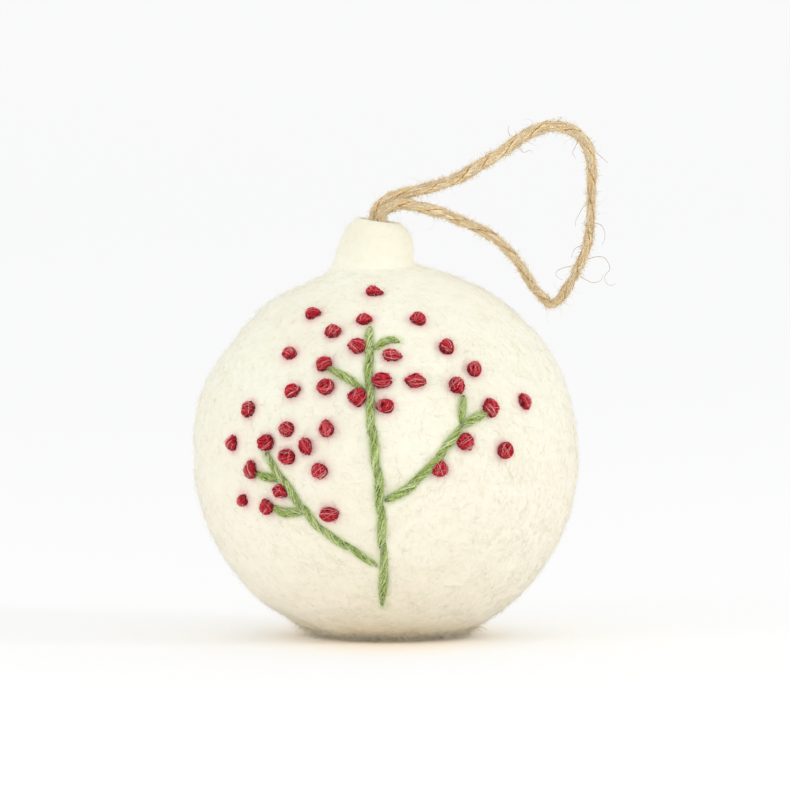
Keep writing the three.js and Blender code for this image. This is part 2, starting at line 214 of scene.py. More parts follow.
def sines(along, table):
    """A sum of sines along a line, each of some height, rate and start."""
    return sum(height * np.sin(along * rate + start) for height, rate, start in table)


def drawn_sines(along, waves, rng):
    """A sum of sines along a line, each of some height and rate, with drawn starts."""
    return sines(along, [(*wave, rng.uniform(0, 6)) for wave in waves])


def linked(name, data):
    """A new object in the scene."""
    obj = bpy.data.objects.new(name, data)
    bpy.context.scene.collection.objects.link(obj)
    return obj


class Shape:
    """Points and faces that are gathered before they become one mesh. Every point has a grain, its
    place along and around its strand in millimetres, an unshaded share, from 0 where a groove is in
    full painted shade to 1 on the outside, and a tone, from 0 for the body of the thread to 1 for its
    palest hairs."""

    def __init__(self):
        self.parts = []
        self.count = 0

    def add(self, points, quads, triangles, grain=None, unshaded=1.0, tone=0.0):
        points = np.asarray(points, float).reshape(-1, 3)
        quads = np.asarray(quads, int).reshape(-1, 4) + self.count
        triangles = np.asarray(triangles, int).reshape(-1, 3) + self.count
        grain = points * MILLIMETRES if grain is None else grain
        unshaded, tone = np.broadcast_to(unshaded, len(points)), np.broadcast_to(tone, len(points))
        self.parts.append((points, quads, triangles, grain, unshaded, tone))
        self.count += len(points)

    def make(self, name, material):
        """The mesh object."""
        points, quads, triangles, grain, unshaded, tone = map(np.concatenate, zip(*self.parts))
        mesh = bpy.data.meshes.new(name)
        mesh.vertices.add(len(points))
        mesh.vertices.foreach_set("co", points.ravel())
        corners = np.concatenate([quads.ravel(), triangles.ravel()])
        mesh.loops.add(len(corners))
        mesh.loops.foreach_set("vertex_index", corners)
        starts = [4 * np.arange(len(quads)), 4 * len(quads) + 3 * np.arange(len(triangles))]
        mesh.polygons.add(len(quads) + len(triangles))
        mesh.polygons.foreach_set("loop_start", np.concatenate(starts))
        mesh.polygons.foreach_set("use_smooth", np.ones(len(mesh.polygons), bool))
        mesh.update(calc_edges=True)
        mesh.validate()
        set_values(mesh, "grain", grain, "FLOAT_VECTOR", "vector")
        set_values(mesh, "unshaded", unshaded)
        set_values(mesh, "tone", tone)
        mesh.materials.append(material)
        return linked(name, mesh)


def set_values(mesh, name, values, kind="FLOAT", field="value"):
    """Stores a number, or a vector, for each of the mesh's points."""
    attribute = mesh.attributes.new(name, kind, "POINT")
    attribute.data.foreach_set(field, np.asarray(values, np.float32).ravel())


def sides_along(points):
    """Two directions square to a line at each of its points, which turn as little as they can."""
    ahead = unit(np.gradient(points, axis=0))
    start = np.cross(ahead[0], UP if abs(ahead[0][2]) < 0.9 else np.array([0.0, 1.0, 0.0]))
    sides = [unit(start)]
    for direction in ahead[1:]:
        sides.append(unit(sides[-1] - direction * (sides[-1] @ direction)))
    return np.array(sides), np.cross(ahead, sides)


def around(side, other, angles):
    """Directions at these angles from one side direction towards the other."""
    return side * np.cos(angles)[..., None] + other * np.sin(angles)[..., None]


def round_angles(count):
    """Angles spread evenly round a circle."""
    return np.linspace(0, math.tau, count, endpoint=False)


def grid_quads(rings, sides):
    """The quads between the rings of a tube, where each ring has as many points as there are sides."""
    ring, side = np.meshgrid(np.arange(rings - 1), np.arange(sides), indexing="ij")
    after = (side + 1) % sides
    low, high = ring * sides, (ring + 1) * sides
    return np.stack([low + side, low + after, high + after, high + side], -1).reshape(-1, 4)


def tube_faces(rings, sides):
    """The quads of a tube of rings, and the triangles from its two end points, which come last."""
    side = np.arange(sides)
    after = (side + 1) % sides
    last = (rings - 1) * sides
    first_cap = np.stack([after, side, np.full(sides, rings * sides)], -1)
    last_cap = np.stack([last + side, last + after, np.full(sides, rings * sides + 1)], -1)
    return grid_quads(rings, sides), np.concatenate([first_cap, last_cap])


def icosphere(subdivisions, radius=1.0):
    """The points and the triangles of an even ball."""
    form = bmesh.new()
    bmesh.ops.create_icosphere(form, subdivisions=subdivisions, radius=radius)
    points = np.array([vertex.co for vertex in form.verts])
    faces = np.array([[vertex.index for vertex in face.verts] for face in form.faces])
    form.free()
    return points, faces


def lengths_along(line):
    """How far along the line each of its points lies."""
    return np.concatenate([[0], np.cumsum(np.linalg.norm(np.diff(line, axis=0), axis=1))])


# A strand's two end points: how far they stand out, as a share of its radius, and their unshaded share,
# which paints them in half shade. Its seed times this shift tells its grain from that of others.
END_REACH = 0.6
END_UNSHADED = 0.5
SEED_SHIFT = 37


def add_rings(shape, line, rings, turns, unshaded, seed, tone=0.0):
    """Adds a closed tube whose rings are given as points. turns are the angles that its grain follows."""
    count, sides = rings.shape[:2]
    ahead = unit(np.gradient(line, axis=0))
    reach = np.linalg.norm(rings - line[:, None], axis=-1).mean(1)
    ends = [line[end] + sign * ahead[end] * reach[end] * END_REACH for end, sign in ((0, -1), (-1, 1))]
    along = lengths_along(line) * MILLIMETRES
    shift = SEED_SHIFT * seed
    grain = np.empty((count, sides, 3))
    grain[..., 0] = along[:, None]
    grain[..., 1] = np.cos(turns) * reach.mean() * MILLIMETRES + shift
    grain[..., 2] = np.sin(turns) * reach.mean() * MILLIMETRES
    end_grain = np.array([[0, shift, 0], [along[-1], shift, 0]])
    quads, triangles = tube_faces(count, sides)
    shape.add(
        np.concatenate([rings.reshape(-1, 3), ends]),
        quads,
        triangles,
        np.concatenate([grain.reshape(-1, 3), end_grain]),
        np.concatenate([np.broadcast_to(unshaded, (count, sides)).ravel(), [END_UNSHADED] * 2]),
        tone,
    )


# How fast the painted shade on a strand fades as it faces out, so the side that faces in is painted darker.
FACING = 0.75


def add_strand(shape, line, radii, sides, relief, lean, crest, seed, tone, shade):
    """Adds a closed tube along a line. relief gives its height, as a share of the radius, and its unshaded
    share, which paints shade in its grooves. Its fibres lean from the line. crest is the way out at each
    point, so that the side that faces in gets painted shade, and shade paints more of it where it is below
    1."""
    side, other = sides_along(line)
    angles = round_angles(sides)
    along = lengths_along(line)
    radii = np.broadcast_to(radii, len(line))[:, None]
    turns = angles[None] - math.tan(lean) * along[:, None] / radii.mean()
    height, unshaded = relief(along, turns)
    out = around(side[:, None], other[:, None], angles)
    rings = line[:, None] + out * (radii * height)[..., None]
    unshaded = unshaded * smooth_step(FACING + FACING * (out * crest[:, None]).sum(-1))
    add_rings(shape, line, rings, turns, unshaded * shade[:, None], seed, tone)


# Each hair has its own place across the grain: the step to the next hair's, and where they start over.
HAIR_STEP = 7.31
HAIR_CYCLE = 60
HAIR_GRAIN = 3


def add_hairs(shape, lines, radii, tones, sides=3):
    """Adds many fine hairs at once, from the points of each, with one tone for each hair or point."""
    count, rings = lines.shape[:2]
    ahead = unit(np.gradient(lines, axis=1))
    mean = unit(ahead.mean(1) + 1e-6)
    helper = np.where(np.abs(mean[:, 2:]) < 0.9, UP, np.array([1.0, 0.0, 0.0]))
    reference = unit(np.cross(mean, helper))[:, None]
    side = unit(np.cross(ahead, reference) + 1e-9)
    other = np.cross(ahead, side)
    out = around(side[:, :, None], other[:, :, None], round_angles(sides))
    points = lines[:, :, None] + out * np.broadcast_to(radii, (count, rings))[:, :, None, None]
    quads = grid_quads(rings, sides)
    last = (rings - 1) * sides
    fan = np.arange(1, sides - 1)
    caps = [(0 * fan, fan + 1, fan), (0 * fan + last, last + fan, last + fan + 1)]
    caps = np.concatenate([np.stack(cap, -1) for cap in caps])
    offsets = (np.arange(count) * rings * sides)[:, None, None]
    grain = np.empty(points.shape)
    grain[..., 0] = np.linspace(0, HAIR_GRAIN, rings)[None, :, None]
    grain[..., 1] = (np.arange(count) * HAIR_STEP % HAIR_CYCLE)[:, None, None]
    grain[..., 2] = 0
    tones = np.asarray(tones, float)
    tones = tones[:, None] if tones.ndim == 1 else tones
    tone = np.repeat(np.broadcast_to(tones, (count, rings)).ravel(), sides)
    shape.add(points, quads[None] + offsets, caps[None] + offsets, grain.reshape(-1, 3), 1.0, tone)


# How fast fibres and plies wander round their strand, in radians for each metre along it.
FIBRE_WANDER = (150, 450)
PLY_WANDER = (500, 900)
RIDGE_SHARPNESS = 0.75


def fibre_ridges(rng, reach, waves):
    """Relief like that of long loose fibres, which run with the grain and wander a little."""
    phases = rng.uniform(0, math.tau, (len(waves), 3))
    wander = rng.uniform(*FIBRE_WANDER, len(waves))

    def relief(along, turns):
        height = np.zeros(turns.shape)
        for wave, (phase, drift, swell), pace in zip(waves, phases, wander):
            shift = np.sin(along * pace + drift)[:, None]
            rise = 0.6 + 0.4 * np.sin(along * pace * 1.7 + swell)[:, None]
            height += rise * np.cos(wave * turns + phase + shift)
        return 1 + reach * height / math.sqrt(len(waves)), 1

    return relief


def ply_ridges(rng, plies, reach):
    """Relief like that of a thread spun from some plies: round ridges with narrow grooves between, where
    shade is painted.
    """
    phase = rng.uniform(0, math.tau)
    drift, pace = rng.uniform(0, math.tau), rng.uniform(*PLY_WANDER)

    def relief(along, turns):
        wobble = 0.5 * np.sin(along * pace + drift)[:, None]
        ridge = np.abs(np.cos(plies * turns / 2 + phase + wobble)) ** RIDGE_SHARPNESS
        return 1 - reach + reach * ridge, ridge

    return relief


HAIR_STEPS = 4
HAIR_TAPER = 0.6


def taper(share):
    """How thick a hair is along its length: full at its root and thin at its free end."""
    return 1 - HAIR_TAPER * share


def add_fibres(shape, roots, outward, lengths, thickness, lift, curl, rng, tones, heading=None):
    """Adds fine hairs that start at the roots, run along the ball's surface, curl, and stand off it by
    lift at their free ends."""
    count = len(roots)
    if heading is None:
        heading = rng.normal(size=(count, 3))
    heading = unit(heading - outward * (heading * outward).sum(1, keepdims=True))
    across = np.cross(outward, heading)
    share = np.linspace(0, 1, HAIR_STEPS + 1)
    bend = rng.uniform(-curl, curl, (count, 1))
    angle = bend * share + rng.uniform(-0.5, 0.5, (count, 1)) * np.sin(math.tau * share)
    step = lengths[:, None] / HAIR_STEPS
    zero = np.zeros((count, 1))
    x = np.concatenate([zero, np.cumsum(np.cos(angle[:, 1:]) * step, 1)], 1)
    y = np.concatenate([zero, np.cumsum(np.sin(angle[:, 1:]) * step, 1)], 1)
    thickness = np.broadcast_to(thickness, count)[:, None]
    height = lift[:, None] * share**1.5 - thickness * (1 - share)
    drop = (x**2 + y**2) / (2 * BALL_RADIUS)
    lines = (
        roots[:, None]
        + heading[:, None] * x[..., None]
        + across[:, None] * y[..., None]
        + outward[:, None] * (height - drop)[..., None]
    )
    lines[..., 2] = np.maximum(lines[..., 2], thickness)
    add_hairs(shape, lines, thickness / 2 * taper(share), tones)


def drawn(values, count, rng):
    """A value for each of some hairs: between the two of a pair, picked from a list, or one for all."""
    if isinstance(values, tuple):
        return rng.uniform(*values, count)
    return rng.choice(values, count) if isinstance(values, list) else values


# Loose hairs: lengths, lifts as shares of them, thickness, tones, and how far they curl in radians.
FELT_HAIRS = (0.0008, 0.0034), (0.01, 0.35), (0.00003, 0.00006), (0, 1), 1.8
NECK_HAIRS = (0.0006, 0.0022), (0.05, 0.3), 0.00004, (0.3, 1), 1.8
# The fringe takes the darker, warmer tones of wool hair as painted warm shade where the ball meets the
# floor.
FRINGE_HAIRS = (0.0008, 0.0028), (0.2, 0.9), 0.00009, (0, 0.5), 1.8
KNOT_HAIRS = (0.0004, 0.0014), (0.1, 0.8), 0.000035, [0.0, 0.3, 0.75, 0.9], 1.5
SHED_HAIRS = (0.0005, 0.0022), (0.01, 0.15), 0.000032, [0.0, 0.3, 0.5, 1.0], 1.6
FLECK_HAIRS = (0.0006, 0.0024), (0.02, 0.3), 0.000045, (0.45, 0.55), 2.2


def scatter(shape, roots, outward, lengths, lifts, thickness, tones, curl, rng):
    """Adds loose hairs at the roots, each with values drawn from those of its kind."""
    count = len(roots)
    lengths = drawn(lengths, count, rng)
    lift = lengths * drawn(lifts, count, rng)
    thickness = drawn(thickness, count, rng)
    tones = drawn(tones, count, rng)
    add_fibres(shape, roots, outward, lengths, thickness, lift, curl, rng, tones)


def smooth_route(points, spacing):
    """A centripetal Catmull-Rom curve through the points, as points about spacing apart."""
    points = np.asarray(points, float)
    points = np.concatenate([[2 * points[0] - points[1]], points, [2 * points[-1] - points[-2]]])
    line = []
    for a, b, c, d in zip(points, points[1:], points[2:], points[3:]):
        t1 = np.linalg.norm(b - a) ** 0.5
        t2 = t1 + np.linalg.norm(c - b) ** 0.5
        t3 = t2 + np.linalg.norm(d - c) ** 0.5
        steps = max(2, round(np.linalg.norm(c - b) / spacing))
        for t in np.linspace(t1, t2, steps, endpoint=False):
            ab = a + (b - a) * t / t1
            bc = b + (c - b) * (t - t1) / (t2 - t1)
            cd = c + (d - c) * (t - t2) / (t3 - t2)
            abc = ab + (bc - ab) * t / t2
            bcd = bc + (cd - bc) * (t - t1) / (t3 - t1)
            line.append(abc + (bcd - abc) * (t - t1) / (t2 - t1))
    line.append(points[-2])
    return np.array(line)


def on_ball(across, up):
    """The point of the ball that shows at these shares of its radius across and up."""
    towards = math.sqrt(1 - across**2 - up**2)
    cos, sin = math.cos(SPRIG_TILT), math.sin(SPRIG_TILT)
    return MIDDLE + BALL_RADIUS * np.array([across, -towards * cos + up * sin, towards * sin + up * cos])


def node_points(name):
    """The points of a CAD node's mesh."""
    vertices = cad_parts[name].data.vertices
    points = np.empty(len(vertices) * 3)
    vertices.foreach_get("co", points)
    return points.reshape(-1, 3)


def settle(piece, slot, *nodes):
    """Puts a piece on the ornament's own body and hides the CAD nodes that it stands for. Its slot is not
    used.
    """
    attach(piece, "ornament")
    if nodes:
        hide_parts(*nodes)


# Looks

class Look:
    """A material with a Principled shader, and short ways to add the nodes that feed it."""

    def __init__(self, name, roughness, sheen=0.0, sheen_tint=(1, 1, 1), specular=0.25):
        self.material = bpy.data.materials.new(name)
        self.material.use_nodes = True
        self.tree = self.material.node_tree
        self.shader = self.tree.nodes["Principled BSDF"]
        values = {
            "Roughness": roughness,
            "Sheen Weight": sheen,
            "Sheen Roughness": 0.5,
            "Sheen Tint": (*sheen_tint, 1),
            "Specular IOR Level": specular,
        }
        for socket, value in values.items():
            self.shader.inputs[socket].default_value = value

    def node(self, kind, inputs=(), **settings):
        """A new node, whose inputs are linked where they are another node's output, and set otherwise."""
        node = self.tree.nodes.new(kind)
        for name, value in settings.items():
            setattr(node, name, value)
        for socket, value in dict(inputs).items():
            if isinstance(value, bpy.types.NodeSocket):
                self.tree.links.new(value, node.inputs[socket])
            else:
                node.inputs[socket].default_value = value
        return node

    def scaled(self, where, scale):
        return self.node("ShaderNodeMapping", {"Vector": where, "Scale": scale}).outputs["Vector"]

    def place(self, scale=(MILLIMETRES,) * 3):
        """The place in the object's own frame, in millimetres where scale is 1000."""
        return self.scaled(self.node("ShaderNodeTexCoord").outputs["Object"], scale)

    def attribute(self, name, output="Fac"):
        return self.node("ShaderNodeAttribute", attribute_name=name).outputs[output]

    def grain(self, scale):
        """The place along and around a strand, in millimetres where scale is 1."""
        return self.scaled(self.attribute("grain", "Vector"), scale)

    def noise(self, where, scale, detail=3.0, roughness=0.55, distortion=0.0):
        inputs = {"Vector": where, "Scale": scale, "Detail": detail}
        inputs.update({"Roughness": roughness, "Distortion": distortion})
        return self.node("ShaderNodeTexNoise", inputs).outputs["Fac"]

    def remap(self, value, low, high, start, end):
        """start where the value is low, and end where it is high."""
        return self.node("ShaderNodeMapRange", {0: value, 1: low, 2: high, 3: start, 4: end}).outputs[0]

    def mix(self, factor, a, b):
        """The colour a where the factor is 0, and b where it is 1."""
        a, b = [(*colour, 1) if isinstance(colour, tuple) else colour for colour in (a, b)]
        return self.node("ShaderNodeMix", {0: factor, 6: a, 7: b}, data_type="RGBA").outputs[2]

    def shade(self, colour, value, low, high, tint, start=0, end=1):
        """The colour with some of a tint: start of it where the value is low, and end where it is high."""
        ramp = self.node("ShaderNodeValToRGB", {"Fac": value})
        for spot, place, share in zip(ramp.color_ramp.elements, (low, high), (start, end)):
            spot.position = place
            spot.color = (share, share, share, 1)
        return self.mix(ramp.outputs["Color"], colour, tint)

    def bump(self, height, strength, distance, normal=None):
        inputs = {"Height": height, "Strength": strength, "Distance": distance}
        if normal is not None:
            inputs["Normal"] = normal
        return self.node("ShaderNodeBump", inputs).outputs["Normal"]

    def finish(self, colour, normal=None):
        """The finished material."""
        for socket, value in (("Base Color", colour), ("Normal", normal)):
            if value is not None:
                self.tree.links.new(value, self.shader.inputs[socket])
        return self.material


IVORY = (0.945, 0.925, 0.765)
PALE_IVORY = (0.96, 0.95, 0.82)
WARM_IVORY = (0.95, 0.89, 0.7)
# Painted light: low on the ball the felt is lightened and warmed as if by light bounced off the floor.
PAINTED_LOW_BOUNCE = (1.0, 0.93, 0.775)
NECK_IVORY = (0.92, 0.89, 0.72)
# Painted shade: a warm brown at the foot, where the ball meets the floor.
PAINTED_FOOT_SHADE = (1.0, 0.82, 0.53)
MATTED_WOOL = (0.78, 0.68, 0.48)
SHED_RED = (1.0, 0.76, 0.7)
SHED_GREEN = (0.7, 0.8, 0.45)

# The felt's heights are shares of about the height of the neck's top.
HEIGHT_SCALE = 12

# How high the bumps of each material seem.
FELT_BUMP = 0.00022
THREAD_BUMP = 0.0001
BATTING_BUMP = 0.0004


def felt_look():
    """Felted wool: mottled ivory, with painted bounce light that lightens and warms it low down and painted
    warm shade at the foot, tangled, and tinted where the threads shed.
    """
    look = Look("ivory_felt", 0.95, 0.5, (1, 0.98, 0.92))
    place = look.place()
    colour = look.shade(IVORY, look.noise(place, 0.07), 0.35, 0.7, PALE_IVORY)
    height = look.node("ShaderNodeSeparateXYZ", {0: look.place([HEIGHT_SCALE] * 3)}).outputs["Z"]
    # Painted bounce light low down, and painted warm shade at the foot.
    colour = look.shade(colour, height, 0.1, 0.6, PAINTED_LOW_BOUNCE, 1, 0)
    colour = look.shade(colour, height, 0.01, 0.06, PAINTED_FOOT_SHADE, 0.75, 0)
    colour = look.shade(colour, height, 0.88, 0.95, NECK_IVORY)
    colour = look.shade(colour, look.noise(place, 0.35, 4, 0.6, 0.6), 0.5, 0.8, WARM_IVORY, 0, 0.4)
    for stretch in ((500, 1700, 900), (1700, 900, 500), (1100, 700, 2100)):
        matted = look.noise(look.place(stretch), 1.2, 5, 0.7, 1.6)
        colour = look.shade(colour, matted, 0.28, 0.4, MATTED_WOOL, 0.13, 0)
    colour = look.shade(colour, look.attribute("red_near"), 0, 1, SHED_RED, 0, 0.75)
    colour = look.shade(colour, look.attribute("green_near"), 0, 1, SHED_GREEN, 0, 0.45)
    tangle = look.noise(look.place((1500, 700, 900)), 1.5, 6, 0.7, 2.2)
    other_tangle = look.noise(look.place((700, 1000, 1700)), 1.3, 6, 0.7, 2.0)
    normal = look.bump(tangle, 0.3, FELT_BUMP)
    return look.finish(colour, look.bump(other_tangle, 0.25, FELT_BUMP, normal))


def fibre_look(name, dark, mid, light, roughness=0.9, sheen=0.2):
    """Single hairs of wool or jute, each of its own shade."""
    look = Look(name, roughness, sheen)
    tone = look.attribute("tone")
    colour = look.shade(dark, tone, 0, 0.5, mid)
    colour = look.shade(colour, tone, 0.5, 1, light)
    streaks = look.noise(look.grain((1.4, 1, 1)), 1.0, 2)
    return look.finish(look.shade(colour, streaks, 0.4, 0.6, dark, 0.3, 0))


def thread_look(name, crevice_shade, dark, mid, light, pale, streak, roughness=0.85, sheen=0.08):
    """Spun thread: streaks along its fibres, painted shade in its grooves, on the sides that face in and low
    down, and some lighter strands and pale hairs.
    """
    look = Look(name, roughness, sheen, light)
    streaks = look.noise(look.grain(streak), 2.6, 4, 0.7)
    colour = look.shade(dark, streaks, 0.3, 0.5, mid)
    colour = look.shade(colour, streaks, 0.54, 0.7, light)
    colour = look.shade(colour, look.noise(look.place(), 3.4, 2, 0.6), 0.36, 0.5, dark, 0.6, 0)
    tone = look.attribute("tone")
    colour = look.shade(colour, tone, 0, 0.5, light, 0, 0.8)
    # Painted shade, darkest in the grooves.
    colour = look.shade(colour, look.attribute("unshaded"), 0.3, 0.85, crevice_shade, 0.95, 0)
    colour = look.shade(colour, tone, 0.55, 1, pale)
    return look.finish(colour, look.bump(streaks, 0.5, THREAD_BUMP))


def batting_look():
    """Loose wool in clouds and wisps."""
    look = Look("wool_batting", 1.0, 0.4)
    clouds = look.noise(look.place(), 0.25, 5, 0.6, 1.5)
    wisps = look.noise(look.place((600, 600, 1800)), 0.8, 6, 0.7, 2.5)
    colour = look.shade((0.8, 0.72, 0.58), clouds, 0.3, 0.7, (0.92, 0.88, 0.78))
    return look.finish(colour, look.bump(wisps, 0.6, BATTING_BUMP))


FELT = felt_look()
BATTING = batting_look()

# Each thread's colours: its painted shade in the grooves, then dark, mid, light and pale.
RED = thread_look(
    "red_thread",
    (0.13, 0.001, 0.006), (0.34, 0.003, 0.012), (0.68, 0.01, 0.03), (0.94, 0.2, 0.22), (1.0, 0.76, 0.73),
    streak=(0.5, 3.0, 3.0),
)
GREEN = thread_look(
    "green_thread",
    (0.02, 0.05, 0.003), (0.09, 0.17, 0.012), (0.37, 0.5, 0.095), (0.87, 0.95, 0.52), (1.0, 1.0, 0.86),
    streak=(1.0, 3.0, 3.0),
)
JUTE = thread_look(
    "jute_twine",
    (0.3, 0.17, 0.06), (0.99, 0.66, 0.31), (1.0, 0.81, 0.48), (1.0, 0.9, 0.66), (1.0, 0.95, 0.8),
    streak=(0.25, 3.0, 3.0), roughness=0.75, sheen=0.15,
)
WOOL_HAIR = fibre_look("wool_hair", (0.91, 0.83, 0.65), (0.98, 0.94, 0.79), (1.0, 1.0, 0.96))
STRAY_HAIR = fibre_look("stray_hair", (0.3, 0.42, 0.22), (0.6, 0.6, 0.5), (0.93, 0.55, 0.52))
JUTE_HAIR = fibre_look("jute_hair", (0.38, 0.23, 0.09), (1.0, 0.77, 0.43), (1.0, 0.95, 0.77), 0.7, 0.15)


# The camera, at the photograph's angle, and a pale studio

def aim(obj, target):
    obj.rotation_euler = (Vector(target) - obj.location).to_track_quat("-Z", "Y").to_euler()


def make_camera():
    metres_per_pixel = BALL_RADIUS / BALL_RADIUS_PIXELS
    right = (PHOTO_SIDE / 2 - BALL_PIXEL[0]) * metres_per_pixel
    up = (BALL_PIXEL[1] - PHOTO_SIDE / 2) * metres_per_pixel
    cos, sin = math.cos(CAMERA_ELEVATION), math.sin(CAMERA_ELEVATION)
    target = Vector((right, up * sin, BALL_MIDDLE + up * cos))
    data = bpy.data.cameras.new("camera")
    camera = linked("camera", data)
    camera.location = target + CAMERA_DISTANCE * Vector((0, -cos, sin))
    aim(camera, target)
    data.sensor_width = SENSOR_WIDTH
    half_angle = math.asin(BALL_RADIUS / CAMERA_DISTANCE)
    data.lens = BALL_RADIUS_PIXELS / math.tan(half_angle) * SENSOR_WIDTH / PHOTO_SIDE
    bpy.context.scene.camera = camera


FLOOR_REACH = 7
SHEET_LIFT = 0.082
FAR_LIFT = 0.115
FAR_START, FAR_END = 0.3, 3
FOOT_LIFT = 0.21
FOOT_SHADE = 0.013
FOOT_GLOW = 0.056
FOOT_STRETCH = (2.1, 1, 1)
SHEET_GLOW, WARM_GLOW = (1.0, 0.98, 0.95), (1.0, 0.83, 0.6)
SHEET_COLOURS = (0.945, 0.95, 0.955), (0.955, 0.96, 0.965)
# Painted shadow: a warmer, darker patch of the sheet round the ball's foot.
PAINTED_FOOT_SHADOW = (0.9, 0.82, 0.71)
SKY_STRENGTH = 0.88
SKY_SEEN = 0.98

# Each lamp's place, width, power and colour.
SOFTBOXES = {
    "front_softbox": ((0.1, -1.5, 0.12), 0.8, 2.8, (1, 0.99, 0.96)),
    "right_softbox": ((1.25, -0.45, 0.5), 0.45, 2.7, (1, 0.99, 0.97)),
    "left_softbox": ((-1.05, -0.85, 0.32), 0.5, 1.8, (1, 0.995, 0.985)),
}


def seen_rays(nodes, links):
    """1 for what the camera sees straight, in gloss or through glass, and 0 for what lights the object."""
    path = nodes.new("ShaderNodeLightPath")
    seen = path.outputs["Is Camera Ray"]
    for kind in ("Is Glossy Ray", "Is Transmission Ray"):
        both = nodes.new("ShaderNodeMath")
        both.operation = "MAXIMUM"
        links.new(seen, both.inputs[0])
        links.new(path.outputs[kind], both.inputs[1])
        seen = both.outputs[0]
    return seen


def sheet_look():
    """A pale matt sheet. The camera sees it a little lighter than it is lit, most of all near the foot,
    where a painted warm glow lies over a painted warm shadow.
    """
    look = Look("studio_sheet", 0.9, specular=0)
    seen = seen_rays(look.tree.nodes, look.tree.links)
    stretched = {0: look.place(FOOT_STRETCH)}
    from_foot = look.node("ShaderNodeVectorMath", stretched, operation="LENGTH").outputs["Value"]
    near = look.remap(from_foot, FOOT_SHADE, FOOT_GLOW, 1.0, 0.0)
    far = look.remap(from_foot, FAR_START, FAR_END, SHEET_LIFT, FAR_LIFT)
    lift = {0: seen, 1: look.remap(near, 0, 1, far, FOOT_LIFT)}
    lift = look.node("ShaderNodeMath", lift, operation="MULTIPLY").outputs[0]
    look.tree.links.new(lift, look.shader.inputs["Emission Strength"])
    look.tree.links.new(look.mix(near, SHEET_GLOW, WARM_GLOW), look.shader.inputs["Emission Color"])
    drift = look.noise(look.place((1, 1, 1)), 0.8, 1)
    return look.finish(look.mix(near, look.mix(drift, *SHEET_COLOURS), PAINTED_FOOT_SHADOW))


def make_studio():
    """A wide floor of one pale sheet, which fills the picture up to its top."""
    places = (-FLOOR_REACH, 0, FLOOR_REACH)
    corners = [(x, y, 0) for x in places for y in places]
    quads = [(0, 3, 4, 1), (1, 4, 5, 2), (3, 6, 7, 4), (4, 7, 8, 5)]
    shape = Shape()
    shape.add(corners, quads, [])
    shape.make("studio_sheet", sheet_look())


def add_softbox(name, place, size, energy, colour):
    data = bpy.data.lights.new(name, "AREA")
    data.shape = "DISK"
    data.size = size
    data.energy = energy
    data.color = colour
    lamp = linked(name, data)
    lamp.location = place
    aim(lamp, (0, 0, BALL_MIDDLE))


def light_studio():
    """A pale room, a wide softbox low behind the camera, one at the right and one at the left of it."""
    world = bpy.data.worlds.new("studio")
    bpy.context.scene.world = world
    world.use_nodes = True
    nodes, links = world.node_tree.nodes, world.node_tree.links
    sky = nodes["Background"]
    sky.inputs["Color"].default_value = (1, 1, 1, 1)
    strength = nodes.new("ShaderNodeMapRange")
    strength.inputs["To Min"].default_value = SKY_STRENGTH
    strength.inputs["To Max"].default_value = SKY_SEEN
    links.new(seen_rays(nodes, links), strength.inputs["Value"])
    links.new(strength.outputs[0], sky.inputs["Strength"])
    for name, lamp in SOFTBOXES.items():
        add_softbox(name, *lamp)
    bpy.context.scene.view_settings.view_transform = "Standard"


make_camera()
make_studio()
light_studio()


# The twine: one loop, with its two legs in the neck

def leg_place(share):
    """Where a leg stands across and back: the back leg where the share is 1, the front where -1."""
    reach = share * LEG_SPACING / 2
    return EXIT_ACROSS - reach * math.sin(LEG_TURN), reach * math.cos(LEG_TURN)


# The straight part of a leg ends this far below the neck's top.
LEG_TOP_DEPTH = 0.001
LEG_POINTS = 5


def twine_route():
    heights = np.linspace(LEG_FOOT, CROWN + NECK_HEIGHT - LEG_TOP_DEPTH, LEG_POINTS)
    legs = {share: [(*leg_place(share), z) for z in heights] for share in (1, -1)}
    free = []
    for right, up, share in LOOP_ROUTE:
        x, y = leg_place(share)
        free.append((x + right, y, BEND_POINT.z + up))
    return legs[1] + free + legs[-1][::-1]


TWINE_PITCH = 0.0118
TWINE_STEP = 0.0003
TWINE_SIDES = 36
TWINE_BODY = 0.86
PLY_REACH = 0.44
PLY_CORNER = 3
PLY_FIBRES = 0.07, (5, 7, 9, 12, 15)

# The groove between the plies: its depth as a share of the twine's radius, and its width in radians.
NOTCH_DEPTH = 0.32
NOTCH_WIDTH = 0.4

# Where a ply starts to count as the twine's outside, free of the painted shade that darkens it towards
# the twine's middle, as a share of the twine's radius, and how fast.
PLY_EDGE = 0.55, 0.4

# What makes the turn and the width of the twine uneven: heights, rates and starts.
TURN_WAVES = [(0.35, 230, 1), (0.2, 610, 0)]
WIDTH_WAVES = [(0.035, 410, 0), (0.03, 1130, 0)]

# The twine is slimmer on one stretch. Its two ends: shares of the length where a change starts, and how
# long it takes.
TWINE_SLIM = 0.27
SLIM_FROM, SLIM_TO = (0.36, 0.12), (0.74, 0.14)

route = smooth_route(twine_route(), TWINE_STEP)


def ply_outline(angles):
    """How far a ply reaches from its middle, as a share of the twine's radius: half of a round, pressed
    flat against the other ply, with soft corners."""
    outside = -PLY_REACH * np.cos(angles) + np.sqrt(1 - (PLY_REACH * np.sin(angles)) ** 2)
    inside = PLY_REACH / np.maximum(-np.cos(angles), 1e-3)
    return (outside**-PLY_CORNER + inside**-PLY_CORNER) ** (-1 / PLY_CORNER)


